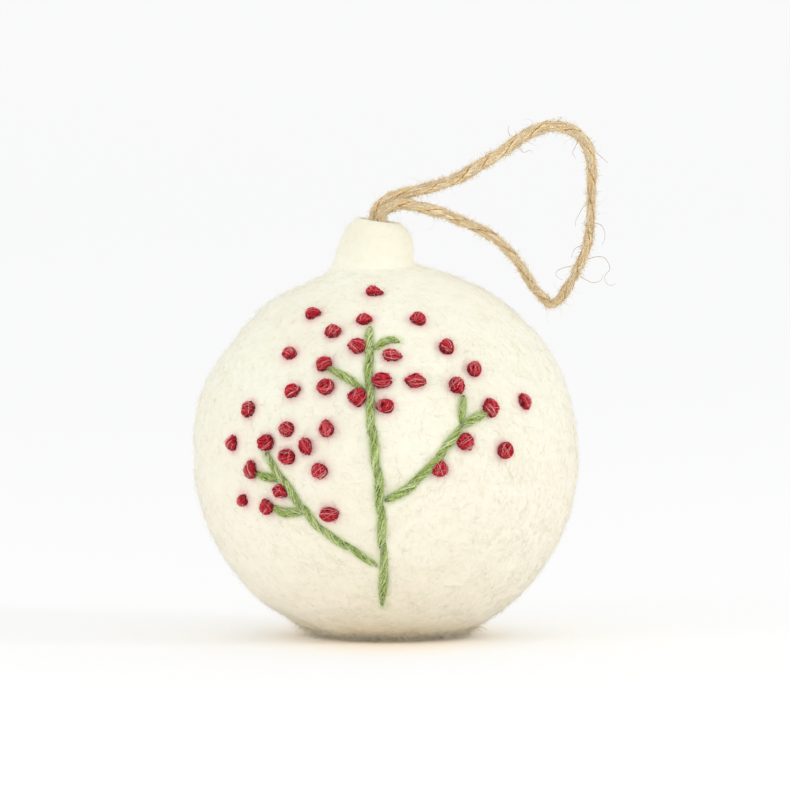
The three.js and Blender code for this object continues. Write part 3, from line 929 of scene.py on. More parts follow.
class Twine:
    """Twisted twine along a line: where its plies run, and how they turn about each other."""

    def __init__(self, line, start):
        self.line = line
        self.along = lengths_along(line)
        self.side, self.other = sides_along(line)
        self.turn = start - math.tau * self.along / TWINE_PITCH + sines(self.along, TURN_WAVES)
        share = self.along / self.along[-1]
        slim = TWINE_SLIM * smooth_step(share, *SLIM_FROM) * (1 - smooth_step(share, *SLIM_TO))
        self.radius = TWINE_DIAMETER / 2 * TWINE_BODY * (1 + sines(self.along, WIDTH_WAVES) - slim)

    def outward(self, places, angles):
        """The direction square to the twine at these places, at these angles."""
        return around(self.side[places], self.other[places], angles)

    def surface(self, places, angles):
        """How far out the twine reaches at these places and angles."""
        apart = (angles - self.turn[places]) % math.pi
        return self.radius[places] * (1 - NOTCH_DEPTH * bell(apart, math.pi / 2, NOTCH_WIDTH))

    def add_plies(self, shape, rng):
        places = np.arange(len(self.line))[:, None]
        angles = round_angles(TWINE_SIDES)[None]
        for half in (0, math.pi):
            turn = self.turn[:, None] + half
            relief, _ = fibre_ridges(rng, *PLY_FIBRES)(self.along, turn + angles)
            reach = self.radius[:, None] * ply_outline(angles) * relief
            centre = self.line + self.outward(places[:, 0], turn[:, 0]) * (self.radius * PLY_REACH)[:, None]
            rings = centre[:, None] + self.outward(places, turn + angles) * reach[..., None]
            # Painted shade: each ply is darker towards the twine's middle.
            away = np.linalg.norm(rings - self.line[:, None], axis=-1) / self.radius[:, None]
            unshaded = smooth_step(away, *PLY_EDGE)
            add_rings(shape, centre, rings, turn + angles, unshaded, half / 5)


# Hairs that stand off the loop, each as right and up from the point where the twine bends.
CURLY_HAIRS = [
    [
        (0.0412, -0.009), (0.0431, -0.0086), (0.0444, -0.0088), (0.0453, -0.0099), (0.0455, -0.0112),
        (0.0448, -0.012), (0.0445, -0.013), (0.045, -0.0139), (0.0459, -0.0143), (0.0467, -0.0138),
    ],
    [
        (0.0379, -0.0104), (0.0364, -0.0108), (0.0352, -0.0114),
        (0.0349, -0.012), (0.0355, -0.0128), (0.0364, -0.0132),
    ],
    [(0.0424, -0.0019), (0.0437, -0.0023), (0.0445, -0.0036), (0.0445, -0.0051), (0.044, -0.0063)],
    [(0.0414, 0.002), (0.0402, 0.001), (0.0393, -0.0006), (0.0388, -0.0016), (0.0388, -0.0026)],
    [(0.0402, -0.0063), (0.0387, -0.007), (0.0379, -0.0088)],
    [(0.0259, 0.0152), (0.0255, 0.0163), (0.0257, 0.0172)],
    [(0.0275, 0.013), (0.0286, 0.012), (0.0298, 0.0124), (0.0305, 0.0118)],
    [(0.0394, 0.0145), (0.0386, 0.0128), (0.0382, 0.012), (0.0389, 0.0106)],
    [(0.035, 0.0178), (0.036, 0.0189), (0.0352, 0.0188)],
    [(0.043, 0.0118), (0.0446, 0.0104), (0.0452, 0.0098)],
    [(0.0398, -0.0125), (0.0422, -0.0137), (0.0438, -0.0132), (0.0442, -0.0121)],
]

# The fibres that lie on the twine: how many steps of it they run, how far they turn about it, how far
# they stand off it in their middle and at their end, and their radii and tones.
LYING_FIBRES = 2600
FIBRE_POINTS = 8
FIBRE_STEPS = (7, 24)
FIBRE_TURNS = [0, 0.5, 1.1]
FIBRE_LIFT = 0.00014
FIBRE_END_LIFT = 0.0006
FIBRE_RADII = [0.00003, 0.00005, 0.00009]
FIBRE_TONES = [0.3, 0.5, 0.5, 0.7, 1, 1]
# How much painted shade darkens the fibres in the twine's groove, and where it starts in the groove and how
# fast.
GROOVE_SHADE = 0.85
GROOVE_EDGE = 0.86, 0.12

# The hairs that stand off the twine, a short fuzz and some longer ones: how many, and from what to what
# their lengths, their lean out, their curl and their tones go, with their radius and their steps.
STANDING_HAIRS = [
    (9000, (0.0004, 0.0018), (0.12, 0.9), (0, 1.6), (0.5, 1), 0.00005, 3),
    (120, (0.0015, 0.005), (0.4, 1.2), (0.8, 3.2), (0, 0.5), 0.000024, 16),
]
CURLY_RADIUS = 0.000055
CURLY_DRIFT = 0.0006


def lying_fibres(twine, count, rng):
    """Lines of fibres that lie on the twine and run nearly along it, and their tones, with painted shade in
    its groove.
    """
    last = len(twine.line) - 1
    steps = rng.integers(*FIBRE_STEPS, count)
    start = rng.integers(4, last - FIBRE_STEPS[1] - 2, count)
    share = np.linspace(0, 1, FIBRE_POINTS)
    places = np.rint(start[:, None] + steps[:, None] * share).astype(int)
    drift = rng.choice(FIBRE_TURNS, (count, 1)) * rng.normal(size=(count, 1))
    angles = rng.uniform(0, math.tau, (count, 1)) + drift * share
    lift = rng.uniform(0, FIBRE_LIFT, (count, 1)) * np.sin(math.pi * share)
    lift = lift + rng.uniform(0, 1, (count, 1)) ** 3 * FIBRE_END_LIFT * share**4
    reach = twine.surface(places, angles) * rng.uniform(0.96, 1.03, (count, 1)) + lift
    groove = np.abs(np.sin(angles - twine.turn[places]))
    tones = rng.choice(FIBRE_TONES, (count, 1)) * (1 - GROOVE_SHADE * smooth_step(groove, *GROOVE_EDGE))
    return twine.line[places] + twine.outward(places, angles) * reach[..., None], tones


def make_lying_fibres(twine, rng):
    shape = Shape()
    lines, tones = lying_fibres(twine, LYING_FIBRES, rng)
    thin = 1 - 0.5 * np.linspace(0, 1, FIBRE_POINTS) ** 3
    radii = rng.choice(FIBRE_RADII, (LYING_FIBRES, 1)) * thin
    add_hairs(shape, lines, radii, tones, 4)
    return shape.make("twine_fibres", JUTE_HAIR)


def standing_hairs(twine, lengths, lean, curl, steps, rng):
    """Lines of hairs that stand off the twine. lean is how far they point out, against along it."""
    count = len(lengths)
    start = rng.integers(12, len(twine.line) - 12, count)
    angle = rng.uniform(0, math.tau, count)
    out = twine.outward(start, angle)
    ahead = unit(twine.line[start + 1] - twine.line[start]) * rng.choice([-1, 1], count)[:, None]
    heading = unit(out * lean[:, None] + ahead)
    bow = unit(np.cross(heading, rng.normal(size=(count, 3))))
    share = np.linspace(0, 1, steps + 1)[None]
    bend = np.where(rng.random((count, 1)) < 0.5, -1, 1) * (0.1 + curl[:, None])
    root = twine.line[start] + out * (twine.surface(start, angle) * 0.96)[:, None]
    onward = lengths[:, None] * np.sin(bend * share) / bend
    aside = lengths[:, None] * (1 - np.cos(bend * share)) / bend
    return root[:, None] + heading[:, None] * onward[..., None] + bow[:, None] * aside[..., None]


def make_standing_hairs(twine, rng):
    """A short fuzz all along the twine, some longer hairs, and a few long curly ones."""
    shape = Shape()
    for count, length, lean, curl, tones, radius, steps in STANDING_HAIRS:
        lengths = rng.uniform(*length, count)
        curl = rng.uniform(*curl, count)
        lines = standing_hairs(twine, lengths, rng.uniform(*lean, count), curl, steps, rng)
        radii = radius * taper(np.linspace(0, 1, steps + 1))
        add_hairs(shape, lines, radii, rng.uniform(*tones, count))
    for hair in CURLY_HAIRS:
        flat = [(x, rng.uniform(-CURLY_DRIFT, CURLY_DRIFT), z) for x, z in hair]
        line = smooth_route([(BEND_POINT.x + x, y, BEND_POINT.z + z) for x, y, z in flat], TWINE_STEP)
        add_hairs(shape, line[None], CURLY_RADIUS * taper(np.linspace(0, 1, len(line))), 0.0, 5)
    return shape.make("twine_hairs", JUTE_HAIR)


def make_twine():
    """Two plies of jute with their loose fibres, from one leg in the neck round the loop to the other."""
    rng = np.random.default_rng(11)
    twine = Twine(route, 1.0)
    shape = Shape()
    twine.add_plies(shape, rng)
    loop = shape.make("twine_loop", JUTE)
    fibres = [make_lying_fibres(twine, rng), make_standing_hairs(twine, rng)]
    for piece in (loop, *fibres):
        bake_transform(piece)
    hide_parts("hanging_loop", "twine_leg_back", "twine_leg_front")


make_twine()


# The embroidery: where the berries and the stitches lie

class Berry:
    """Where a knot of thread sits on the ball, and its half sizes, from its CAD node."""

    def __init__(self, name):
        points = node_points(name)
        centre = points.mean(0)
        self.name = name
        self.outward = unit(centre - MIDDLE)
        self.right = unit(np.cross(UP, self.outward))
        self.up = np.cross(self.outward, self.right)
        self.foot = MIDDLE + self.outward * BALL_RADIUS
        flat = np.stack([(points - centre) @ self.right, (points - centre) @ self.up], -1)
        _, axes = np.linalg.eigh(flat.T @ flat)
        self.axes = axes.T[::-1]
        self.half = np.abs(flat @ axes)[:, ::-1].max(0)
        self.rise = np.linalg.norm(points - MIDDLE, axis=1).max() - BALL_RADIUS

    def placed(self, points):
        """Points given along the berry's right, up and outward directions, in the row frame."""
        return self.foot + points @ np.stack([self.right, self.up, self.outward])


berries = [Berry(name) for name in BERRIES]


def run_line(places):
    """The middle line of a run of stitches on the ball, and where its stitches meet on it."""
    flat = smooth_route([(across, up, 0) for across, up in places], STITCH_STEP / BALL_RADIUS)
    line = np.array([on_ball(across, up) for across, up, _ in flat])
    meets = [int(np.argmin(np.hypot(flat[:, 0] - across, flat[:, 1] - up))) for across, up in places]
    return line, meets


runs = [(name, width, *run_line(places)) for name, width, places in STITCH_RUNS]
BERRY_FEET = np.array([berry.foot for berry in berries])
STITCH_FEET = np.concatenate([line[::3] for _, _, line, _ in runs])


def nearness(points, targets, start, reach):
    """1 for points on the front up to start from a target, falling to 0 at reach."""
    tree = KDTree(len(targets))
    for index, target in enumerate(targets):
        tree.insert(target, index)
    tree.balance()
    near = np.zeros(len(points))
    front = points[:, 1] < 0
    gaps = np.array([tree.find(point)[2] for point in points[front]])
    near[front] = 1 - smooth_step(gaps, start, reach - start)
    return near


# The felt ball

BALL_SIDES = 400
BALL_ROWS = 206
INNER_ROWS = 14

# The height, wavelength and number of the waves that make the felt uneven, and its finest roughness.
# Nothing is uneven on the floor.
FELT_RIPPLES = [(0.00016, 0.022, 28), (0.00009, 0.007, 28), (0.00004, 0.0028, 28), (0.000025, 0.0015, 40)]
ROUGHNESS = (0.00003, 0.0016, 40)
ROUGH_ABOVE = 0.0015
EVEN_BELOW = 0.0022

# How near a berry or a stitch the felt is dented, and how near it is tinted: fully, and at all.
BERRY_DENT = 0.0011, 0.0034
STITCH_DENT = 0.0003, 0.0019
RED_TINT = 0.0016, 0.0031
GREEN_TINT = 0.0008, 0.0018

# The hole isn't in the middle of the crown, so the rows near it shift, up to this angle away.
SHIFT_REACH = 0.5

# Soft unevenness of the outline: direction across, towards the back and up, height, and width.
LUMPS = [
    ((-0.93, 0, 0.36), 0.0003, 0.25),
    ((-0.85, 0, -0.5), -0.0004, 0.3),
    ((-0.41, 0, 0.91), -0.002, 0.15),
    ((-0.74, 0, 0.67), -0.0007, 0.2),
    ((-1, 0, 0.05), -0.0005, 0.2),
    ((-0.44, -0.2, -0.87), -0.0014, 0.16),
    ((0.42, 0, 0.91), -0.0006, 0.14),
    ((0.19, 0, 0.98), 0.0003, 0.09),
    ((0.98, 0, 0.2), -0.0003, 0.3),
    ((0.98, 0, -0.2), -0.0003, 0.2),
    ((0.2, -0.9, -0.5), 0.0004, 0.4),
    ((0.3, 0.9, 0.2), -0.0006, 0.5),
    ((-0.5, 0.8, -0.3), 0.0005, 0.4),
]


def press_flat(heights):
    """Heights as the ball's foot is pressed on the floor, with a soft edge."""
    soft = (heights + FOOT_ROUNDING) ** 2 / (4 * FOOT_ROUNDING)
    return np.where(heights > FOOT_ROUNDING, heights, np.where(heights < -FOOT_ROUNDING, 0, soft))


def ball_rows(radius, rows, floor):
    """Points in rings from the hole at the top to the bottom, and the directions they lie in."""
    start = math.asin(HOLE_RADIUS / radius)
    polar = np.linspace(start, math.pi, rows + 1)[:-1]
    polar, angles = np.meshgrid(polar, round_angles(BALL_SIDES), indexing="ij")
    out = np.stack([np.sin(polar) * np.cos(angles), np.sin(polar) * np.sin(angles), np.cos(polar)], -1)
    near_hole = 1 - smooth_step(polar, start, SHIFT_REACH)
    points = MIDDLE + out * radius
    points[..., 0] += EXIT_ACROSS * near_hole
    points[..., 2] = floor + press_flat(points[..., 2] - floor)
    return points.reshape(-1, 3), out.reshape(-1, 3)


def felt_height(points, outward, rng):
    """How far the felt stands off a true ball: ripples, lumps, and dents round the berries and stitches."""
    height = ripples(points, FELT_RIPPLES, rng)
    for way, rise, width in LUMPS:
        height += rise * bell(np.arccos(np.clip(outward @ unit(way), -1, 1)), 0, width)
    by_berry = nearness(points, BERRY_FEET, *BERRY_DENT)
    by_stitch = nearness(points, STITCH_FEET, *STITCH_DENT)
    height -= THREAD_DENT * by_berry + THREAD_DENT * by_stitch
    height *= smooth_step(points[:, 2] / EVEN_BELOW)
    return height + ripples(points, [ROUGHNESS], rng) * (points[:, 2] > ROUGH_ABOVE)


def ball_faces(inner_start):
    """The quads of the skin's outside, inside and lip, and the triangles round its two last points."""
    side = np.arange(BALL_SIDES)
    after = (side + 1) % BALL_SIDES
    quads = [
        grid_quads(BALL_ROWS, BALL_SIDES)[:, [0, 3, 2, 1]],
        grid_quads(INNER_ROWS, BALL_SIDES) + inner_start,
        np.stack([side, after, inner_start + after, inner_start + side], -1),
    ]
    last_outer = inner_start - BALL_SIDES
    last_inner = last_outer + INNER_ROWS * BALL_SIDES
    pole = np.full(BALL_SIDES, last_inner + BALL_SIDES)
    triangles = [
        np.stack([last_outer + side, pole, last_outer + after], -1),
        np.stack([last_inner + after, pole + 1, last_inner + side], -1),
    ]
    return np.concatenate(quads), np.concatenate(triangles)


def make_felt_ball():
    """The skin of felt. Returns the points of its outside and their directions."""
    rng = np.random.default_rng(5)
    outer, outward = ball_rows(BALL_RADIUS, BALL_ROWS, 0)
    outer = outer + outward * felt_height(outer, outward, rng)[:, None]
    inner, _ = ball_rows(BALL_RADIUS - FELT_THICKNESS, INNER_ROWS, FELT_THICKNESS)
    points = np.concatenate([outer, inner, [(0, 0, 0), (0, 0, FELT_THICKNESS)]])
    shape = Shape()
    shape.add(points, *ball_faces(len(outer)))
    ball = shape.make("felt_ball", FELT)
    for name, feet, tint in (("red_near", BERRY_FEET, RED_TINT), ("green_near", STITCH_FEET, GREEN_TINT)):
        near = np.zeros(len(points))
        near[: len(outer)] = nearness(outer, feet, *tint)
        set_values(ball.data, name, near)
    settle(ball, "ivory_felt", "felt_shell")
    return outer, outward


ball_points, ball_outward = make_felt_ball()


# The felted neck

NECK_SIDES = 180
NECK_RIPPLES = [(0.00015, 0.009, 28), (0.00007, 0.0035, 28), (0.00003, 0.0015, 40)]
LIP_GAP = 0.0001
LIP_RADIUS = HOLE_RADIUS + LIP_GAP
LIP_DEPTH = 0.0016
BORE_START = 0.002
WAIST_INSET = 0.0002

# The bulge low on the neck's right and the dent on its left: their size, height and spread.
NECK_BULGE = 0.0009, -0.0012, 0.0011
NECK_DENT = 0.0007, 0.0048, 0.004

# The left of the root reaches deeper below this height, and the bulge and the outside start this far from
# the hole.
DEEPER_BELOW = -0.002
BULGE_START = 0.001
OUTSIDE_START = 0.0003, 0.0015


def bezier(a, b, c, steps):
    """Points of a curve from a to c that is drawn towards b."""
    t = np.linspace(0, 1, steps)[:, None]
    return np.array(a) * (1 - t) ** 2 + 2 * np.array(b) * t * (1 - t) + np.array(c) * t**2


def neck_outline():
    """The neck's section as radius and height over the crown: skirt, shoulder, lips, bore and underside.
    Also how many of its points show."""
    root, waist = (NECK_ROOT_RADIUS, -NECK_ROOT_DEPTH), (NECK_RADIUS, NECK_WAIST_HEIGHT)
    top, shoulder_bend = (NECK_TOP_RADIUS, NECK_HEIGHT), (NECK_RADIUS - WAIST_INSET, NECK_SHOULDER_HEIGHT)
    skirt = bezier(root, (NECK_RADIUS, -NECK_ROOT_DEPTH / 2), waist, 26)
    shoulder = bezier(waist, shoulder_bend, top, 26)
    lips = bezier(top, (LIP_RADIUS, NECK_HEIGHT), (LIP_RADIUS, NECK_HEIGHT - LIP_DEPTH), 10)
    bore = [(LIP_RADIUS, height) for height in np.linspace(NECK_HEIGHT - BORE_START, -NECK_ROOT_DEPTH, 12)]
    under = [(radius, -NECK_ROOT_DEPTH) for radius in np.linspace(LIP_RADIUS, NECK_ROOT_RADIUS, 8)[1:-1]]
    return np.array([*skirt, *shoulder[1:], *lips[1:], *bore, *under]), len(skirt) + len(shoulder)


def neck_form(radius, height):
    """The neck's points, and which of them lie outside, from 0 in the bore to 1."""
    angles = round_angles(NECK_SIDES)
    right, left = np.maximum(np.cos(angles), 0), np.maximum(-np.cos(angles), 0)
    fuller = NECK_BULGE[0] * right**2 * bell(height, *NECK_BULGE[1:])
    fuller = fuller - NECK_DENT[0] * left**2 * bell(height, *NECK_DENT[1:])
    radius = radius + fuller * (radius > HOLE_RADIUS + BULGE_START)
    points = np.empty((len(radius), NECK_SIDES, 3))
    points[..., 0] = radius * np.cos(angles)
    points[..., 1] = radius * np.sin(angles)
    points[..., 2] = height + np.minimum(height - DEEPER_BELOW, 0) * left / 2
    outside = smooth_step(np.hypot(points[..., 0], points[..., 1]) - HOLE_RADIUS, *OUTSIDE_START)
    lean = math.tan(NECK_LEAN)
    dip = lean * points[..., 0] * np.maximum(points[..., 2], 0) / NECK_HEIGHT
    points[..., 0] += EXIT_ACROSS + lean * (points[..., 2] - NECK_HEIGHT) * outside
    points[..., 2] += CROWN - dip
    return points.reshape(-1, 3), outside.ravel()


def make_felt_neck():
    """A soft collar whose lips close round the twine. Returns the points that show and their ways out."""
    rng = np.random.default_rng(8)
    outline, shown = neck_outline()
    points, outside = neck_form(outline[:, :1], outline[:, 1:])
    out = unit((points - [EXIT_ACROSS, 0, 0]) * [1, 1, 0] + [1e-9, 0, 0])
    points = points + out * (ripples(points, NECK_RIPPLES, rng) * outside)[:, None]
    shape = Shape()
    shape.add(points, grid_quads(len(outline) + 1, NECK_SIDES) % len(points), [])
    settle(shape.make("felt_collar", FELT), "ivory_felt", "felt_neck")
    shown *= NECK_SIDES
    return points[:shown], out[:shown]


neck_points, neck_outward = make_felt_neck()


# The knotted berries

WOOL_RADIUS = 0.0003
WOOL_LEAN = math.radians(32)
WRAP_POINTS = 40
WRAP_REACH = math.radians(68)
WRAP_TURNS = (5.8, 6.8)
WRAP_DRIFT = [(0.09, 1.3)]
WRAP_SWELL = [(0.05, 0.7)]
WRAP_THIN = 0.4
BERRY_HAIRS = 90

# The height of a knot's own round form, as a share of the berry's rise, and where its threads face away
# from, as a share of the form's middle height.
KNOT_SHARE = 0.78
MIDDLE_SHARE = 0.4

# How wide a corner is in radians, how much its thread stretches and sinks there, and how much at most.
CORNER_WIDTH = 0.42
CORNER_STRETCH = 1.3
CORNER_SINK = 1.9
MOST_SINK = 0.75
SINK_DEPTH = 0.0001

# Threads low on the berry get painted shade, darker the lower they lie, up to this share of its rise.
LOW_SHADE = 0.45
LIGHT_SHARE = 0.75

# How far out the core, the corner threads and the pale hairs lie, where the wraps lie at 1.
CORE_REACH = 0.96
CORNER_REACH = 1.1
PALE_REACH = 1.12

# Where loose and pale hairs start on a thread, as shares of its radius, and how thick pale ones are.
# The pale ones are partly loose fibres and partly painted highlights along the wraps.
HAIR_ROOT = 0.9
PALE_ROOT = 0.8
PALE_RADII = (0.00002, 0.000037)
PALE_HAIRS_AND_HIGHLIGHTS = 8
PALE_POINTS = 16


def arc_over(way, lean, reach, span=0.92, points=36):
    """An arc over a unit ball, in the direction of way, that leans to one side."""
    arc = math.pi * ((1 - span) / 2 + span * np.linspace(0, 1, points))
    over = np.stack([np.cos(arc), lean * np.sin(arc), np.sin(arc)], -1)
    over *= reach / np.sqrt(1 + (lean * np.sin(arc)) ** 2)[:, None]
    turn = np.array([[math.cos(way), math.sin(way), 0], [-math.sin(way), math.cos(way), 0], [0, 0, 1]])
    return over @ turn


class Knot:
    """A berry's thread, wound round a small core and pulled into corners where it dives into the felt."""

    def __init__(self, berry, wraps, rng):
        self.berry, self.rng, self.shape = berry, rng, Shape()
        self.line_angle, self.facing, self.corners = wraps
        self.half = np.array([*berry.half, berry.rise * KNOT_SHARE])
        self.centre_height = berry.rise - self.half[2]
        self.middle = berry.placed(np.array([[0, 0, self.centre_height * MIDDLE_SHARE]]))
        self.axes = np.array([[*berry.axes[0], 0], [*berry.axes[1], 0], [0, 0, 1]])

    def shaped(self, points):
        """Points of a unit ball, in the berry's form and place."""
        local = (points @ self.axes.T) * (self.half - WOOL_RADIUS)
        local = local @ self.axes
        reach = np.hypot(local[:, 0], local[:, 1]) / np.mean(self.half[:2])
        angle = np.arctan2(local[:, 1], local[:, 0])
        stretch, sink = np.zeros(len(local)), np.zeros(len(local))
        for way, length in self.corners:
            apart = (angle - math.radians(way) + math.pi) % math.tau - math.pi
            pull = bell(apart, 0, CORNER_WIDTH) * reach**2
            stretch += pull * length * CORNER_STRETCH
            sink += pull * min(1, length * CORNER_SINK)
        local[:, :2] *= (1 + stretch)[:, None]
        local[:, 2] = local[:, 2] * (1 - np.clip(sink, 0, MOST_SINK)) - SINK_DEPTH * sink
        local[:, 2] += self.centre_height
        return self.berry.placed(local)

    def wind(self, wound, radius, tone=0.0):
        """Adds a thread along a line on the unit ball. Returns its line and the ways out from it."""
        line = self.shaped(wound)
        crest = unit(line - self.middle)
        relief = ply_ridges(self.rng, 3, 0.2)
        height = np.linalg.norm(line - MIDDLE, axis=1) - BALL_RADIUS
        shade = LOW_SHADE + (1 - LOW_SHADE) * smooth_step(height / (LIGHT_SHARE * self.berry.rise))
        seed = self.rng.uniform(0, 1)
        add_strand(self.shape, line, radius, 12, relief, WOOL_LEAN, crest, seed, tone, shade)
        return line, crest

    def add_wraps(self):
        """The main thread, wound from one side of the berry to the other."""
        rng = self.rng
        way, facing = math.radians(self.line_angle + 90), math.radians(self.facing)
        flat = math.cos(facing)
        axis = np.array([math.cos(way) * flat, math.sin(way) * flat, math.sin(facing)])
        first = unit(np.cross(axis, [0.3, 0.2, 1.0]))
        second = np.cross(axis, first)
        turns = rng.uniform(*WRAP_TURNS)
        share = np.linspace(0, 1, int(turns * WRAP_POINTS))
        angle = rng.uniform(0, math.tau) + math.tau * turns * share
        latitude = WRAP_REACH * (2 * share - 1) + drawn_sines(angle, WRAP_DRIFT, rng)
        wound = around(around(first, second, angle), axis, latitude)
        wound *= (1 + drawn_sines(angle, WRAP_SWELL, rng))[:, None]
        thin_ends = 1 - WRAP_THIN * smooth_step((np.abs(2 * share - 1) - 0.9) * 10)
        return self.wind(wound, WOOL_RADIUS * thin_ends)

    def add_corner_threads(self):
        """A thread over the top towards each corner, and one more across."""
        rng = self.rng
        ways = [way for way, _ in self.corners] + [self.line_angle + rng.uniform(40, 140)]
        for way in ways:
            way = math.radians(way) + rng.uniform(-0.25, 0.25)
            over = arc_over(way, rng.uniform(-0.9, 0.9), CORNER_REACH)
            self.wind(over, WOOL_RADIUS * rng.uniform(0.7, 0.9), rng.choice([0, 0, 0.25]))

    def add_pale_hairs_and_highlights(self):
        """Fine pale hairs over the threads, most of them along the wraps: partly loose fibres and partly
        painted highlights.
        """
        rng = self.rng
        for number in range(PALE_HAIRS_AND_HIGHLIGHTS):
            way = math.radians(self.line_angle + rng.normal() * (10 if number < 5 else 50))
            over = arc_over(way, rng.uniform(-1.6, 1.6), PALE_REACH, rng.uniform(0.25, 0.8), PALE_POINTS)
            line = self.shaped(over)
            line = line + unit(line - self.middle) * WOOL_RADIUS * PALE_ROOT
            thick = rng.uniform(*PALE_RADII)
            add_hairs(self.shape, line[None], thick, rng.choice([0.65, 0.8, 1.0]))

    def add_core(self):
        points, faces = icosphere(3, CORE_REACH)
        # The core is painted in full groove shade.
        self.shape.add(self.shaped(points), [], faces, points * 1.5, 0.3)

    def add_loose_hairs(self, line, crest):
        pick = self.rng.integers(3, len(line) - 3, BERRY_HAIRS)
        roots = line[pick] + crest[pick] * WOOL_RADIUS * HAIR_ROOT
        scatter(self.shape, roots, crest[pick], *KNOT_HAIRS, self.rng)


def make_berries():
    rng = np.random.default_rng(21)
    for berry, wraps in zip(berries, BERRY_WRAPS):
        knot = Knot(berry, wraps, rng)
        line, crest = knot.add_wraps()
        knot.add_corner_threads()
        knot.add_pale_hairs_and_highlights()
        knot.add_core()
        knot.add_loose_hairs(line, crest)
        piece = knot.shape.make(berry.name.replace("berry", "knot"), RED)
        settle(piece, "red_thread", berry.name)


make_berries()


# The green stitches

THREAD_OVERLAP = 0.0012
STITCH_SLANT = 0.0003
STITCH_RISE = 0.0011
STITCH_SINK = 0.0005
YARN_STRAND = 0.00014
YARN_LEAN = math.radians(21)
HAIRS_PER_METRE = 34000
STITCH_BODY = 0.9
END_SINK = 0.0005

# How soon a stitch swells from its ends, and how wide and high its ends stay, as shares.
END_SHARE = 0.012
SWELL_SHARPNESS = 0.55
END_WIDTH = 0.3
END_HEIGHT = 0.5

# A stitch's loose hairs.
HAIR_LENGTHS = (0.0003, 0.0012)
HAIR_LIFTS = (0.02, 0.45)
HAIR_TONES = [0.0, 0.1, 0.6, 0.9, 1.0]
HAIR_WIDTHS = (0.00003, 0.00007)

# Heights and rates of the waves in which stitches and their strands wander and swell.
STITCH_WANDER = [(0.00006, 7)]
STRAND_WAVES = [(0.12, 900), (0.1, 2300)]
STRAND_SWELL = [(0.12, 1700)]
STRAND_RADII = (0.85, 1.1)
STRAND_FIBRES = 0.1, (2, 3, 4)
STRAND_TONES = [0.0, 0.0, 0.0, 0.2, 0.35]


class Stitch:
    """One long stitch of twisted yarn, drawn together where its ends dive into the felt."""

    def __init__(self, line, width, rng):
        self.along = lengths_along(line)
        share = self.along / self.along[-1]
        self.ahead = unit(np.gradient(line, axis=0))
        self.outward = unit(line - MIDDLE)
        self.across = np.cross(self.ahead, self.outward)
        swell = np.sin(math.pi * np.clip(share, END_SHARE, 1 - END_SHARE)) ** SWELL_SHARPNESS
        self.swell = swell
        self.half_width = (width / 2 * STITCH_BODY - YARN_STRAND) * (END_WIDTH + (1 - END_WIDTH) * swell)
        self.half_rise = (STITCH_RISE + STITCH_SINK) / 2 - YARN_STRAND
        self.half_rise = self.half_rise * (END_HEIGHT + (1 - END_HEIGHT) * swell)
        aside = STITCH_SLANT * (2 * share - 1) + drawn_sines(share, STITCH_WANDER, rng)
        rise = (STITCH_RISE - STITCH_SINK) / 2 * swell - END_SINK * (1 - swell)
        self.middle = line + self.across * aside[:, None] + self.outward * rise[:, None]

    def ring_point(self, angle, inset=0.0, places=slice(None)):
        """The point at an angle round each of these places of the stitch."""
        wide = self.across[places] * ((self.half_width[places] - inset) * np.cos(angle))[:, None]
        high = self.outward[places] * ((self.half_rise[places] - inset) * np.sin(angle))[:, None]
        return self.middle[places] + wide + high

    def add_strands(self, shape, rng):
        """The strands, which lean round the stitch."""
        along = self.along
        round_trip = math.tau * math.sqrt((np.max(self.half_width) ** 2 + np.max(self.half_rise) ** 2) / 2)
        count = int(round_trip * math.cos(YARN_LEAN) / (YARN_STRAND * 1.75))
        twist = math.tau * math.tan(YARN_LEAN) / round_trip
        # Painted shade: the strands darken towards the stitch's ends, where it dives into the felt.
        shade = 0.5 + 0.5 * smooth_step(self.swell * 3 - 1.1)
        for number in range(count):
            wander = drawn_sines(along, STRAND_WAVES, rng)
            strand = self.ring_point(math.tau * number / count - twist * along + wander)
            crest = unit(strand - self.middle)
            radius = YARN_STRAND * rng.uniform(*STRAND_RADII)
            radii = radius * (1 + drawn_sines(along, STRAND_SWELL, rng))
            radii = radii * (0.55 + 0.45 * self.swell)
            relief = fibre_ridges(rng, *STRAND_FIBRES)
            tone = rng.choice(STRAND_TONES)
            add_strand(shape, strand, radii, 6, relief, 0.0, crest, rng.uniform(0, 1), tone, shade)

    def add_core(self, shape, rng):
        """A plain body inside the strands, painted in full groove shade."""
        angles = round_angles(12)
        rings = np.stack([self.ring_point(angle, YARN_STRAND / 2) for angle in angles], 1)
        turns = np.broadcast_to(angles, rings.shape[:2])
        add_rings(shape, self.middle, rings, turns, 0.25, rng.uniform(0, 1))

    def add_loose_hairs(self, shape, rng):
        """Pale and green hairs that lie over the stitch, most of them along it."""
        count = max(8, int(lengths_along(self.middle)[-1] * HAIRS_PER_METRE))
        pick = rng.integers(0, len(self.middle), count)
        ahead = self.ahead[pick]
        angle = rng.uniform(-0.2, math.pi + 0.2, count)
        roots = self.ring_point(angle, -YARN_STRAND * HAIR_ROOT, pick)
        out = unit(around(self.across[pick], self.outward[pick], angle))
        heading = ahead * rng.choice([-1, 1], count)[:, None]
        heading = heading + np.cross(out, ahead) * (rng.normal(size=count) * 0.7)[:, None]
        lengths = drawn(HAIR_LENGTHS, count, rng)
        lift = lengths * drawn(HAIR_LIFTS, count, rng)
        tones = drawn(HAIR_TONES, count, rng)
        thickness = drawn(HAIR_WIDTHS, count, rng)
        add_fibres(shape, roots, out, lengths, thickness, lift, 1.0, rng, tones, heading)


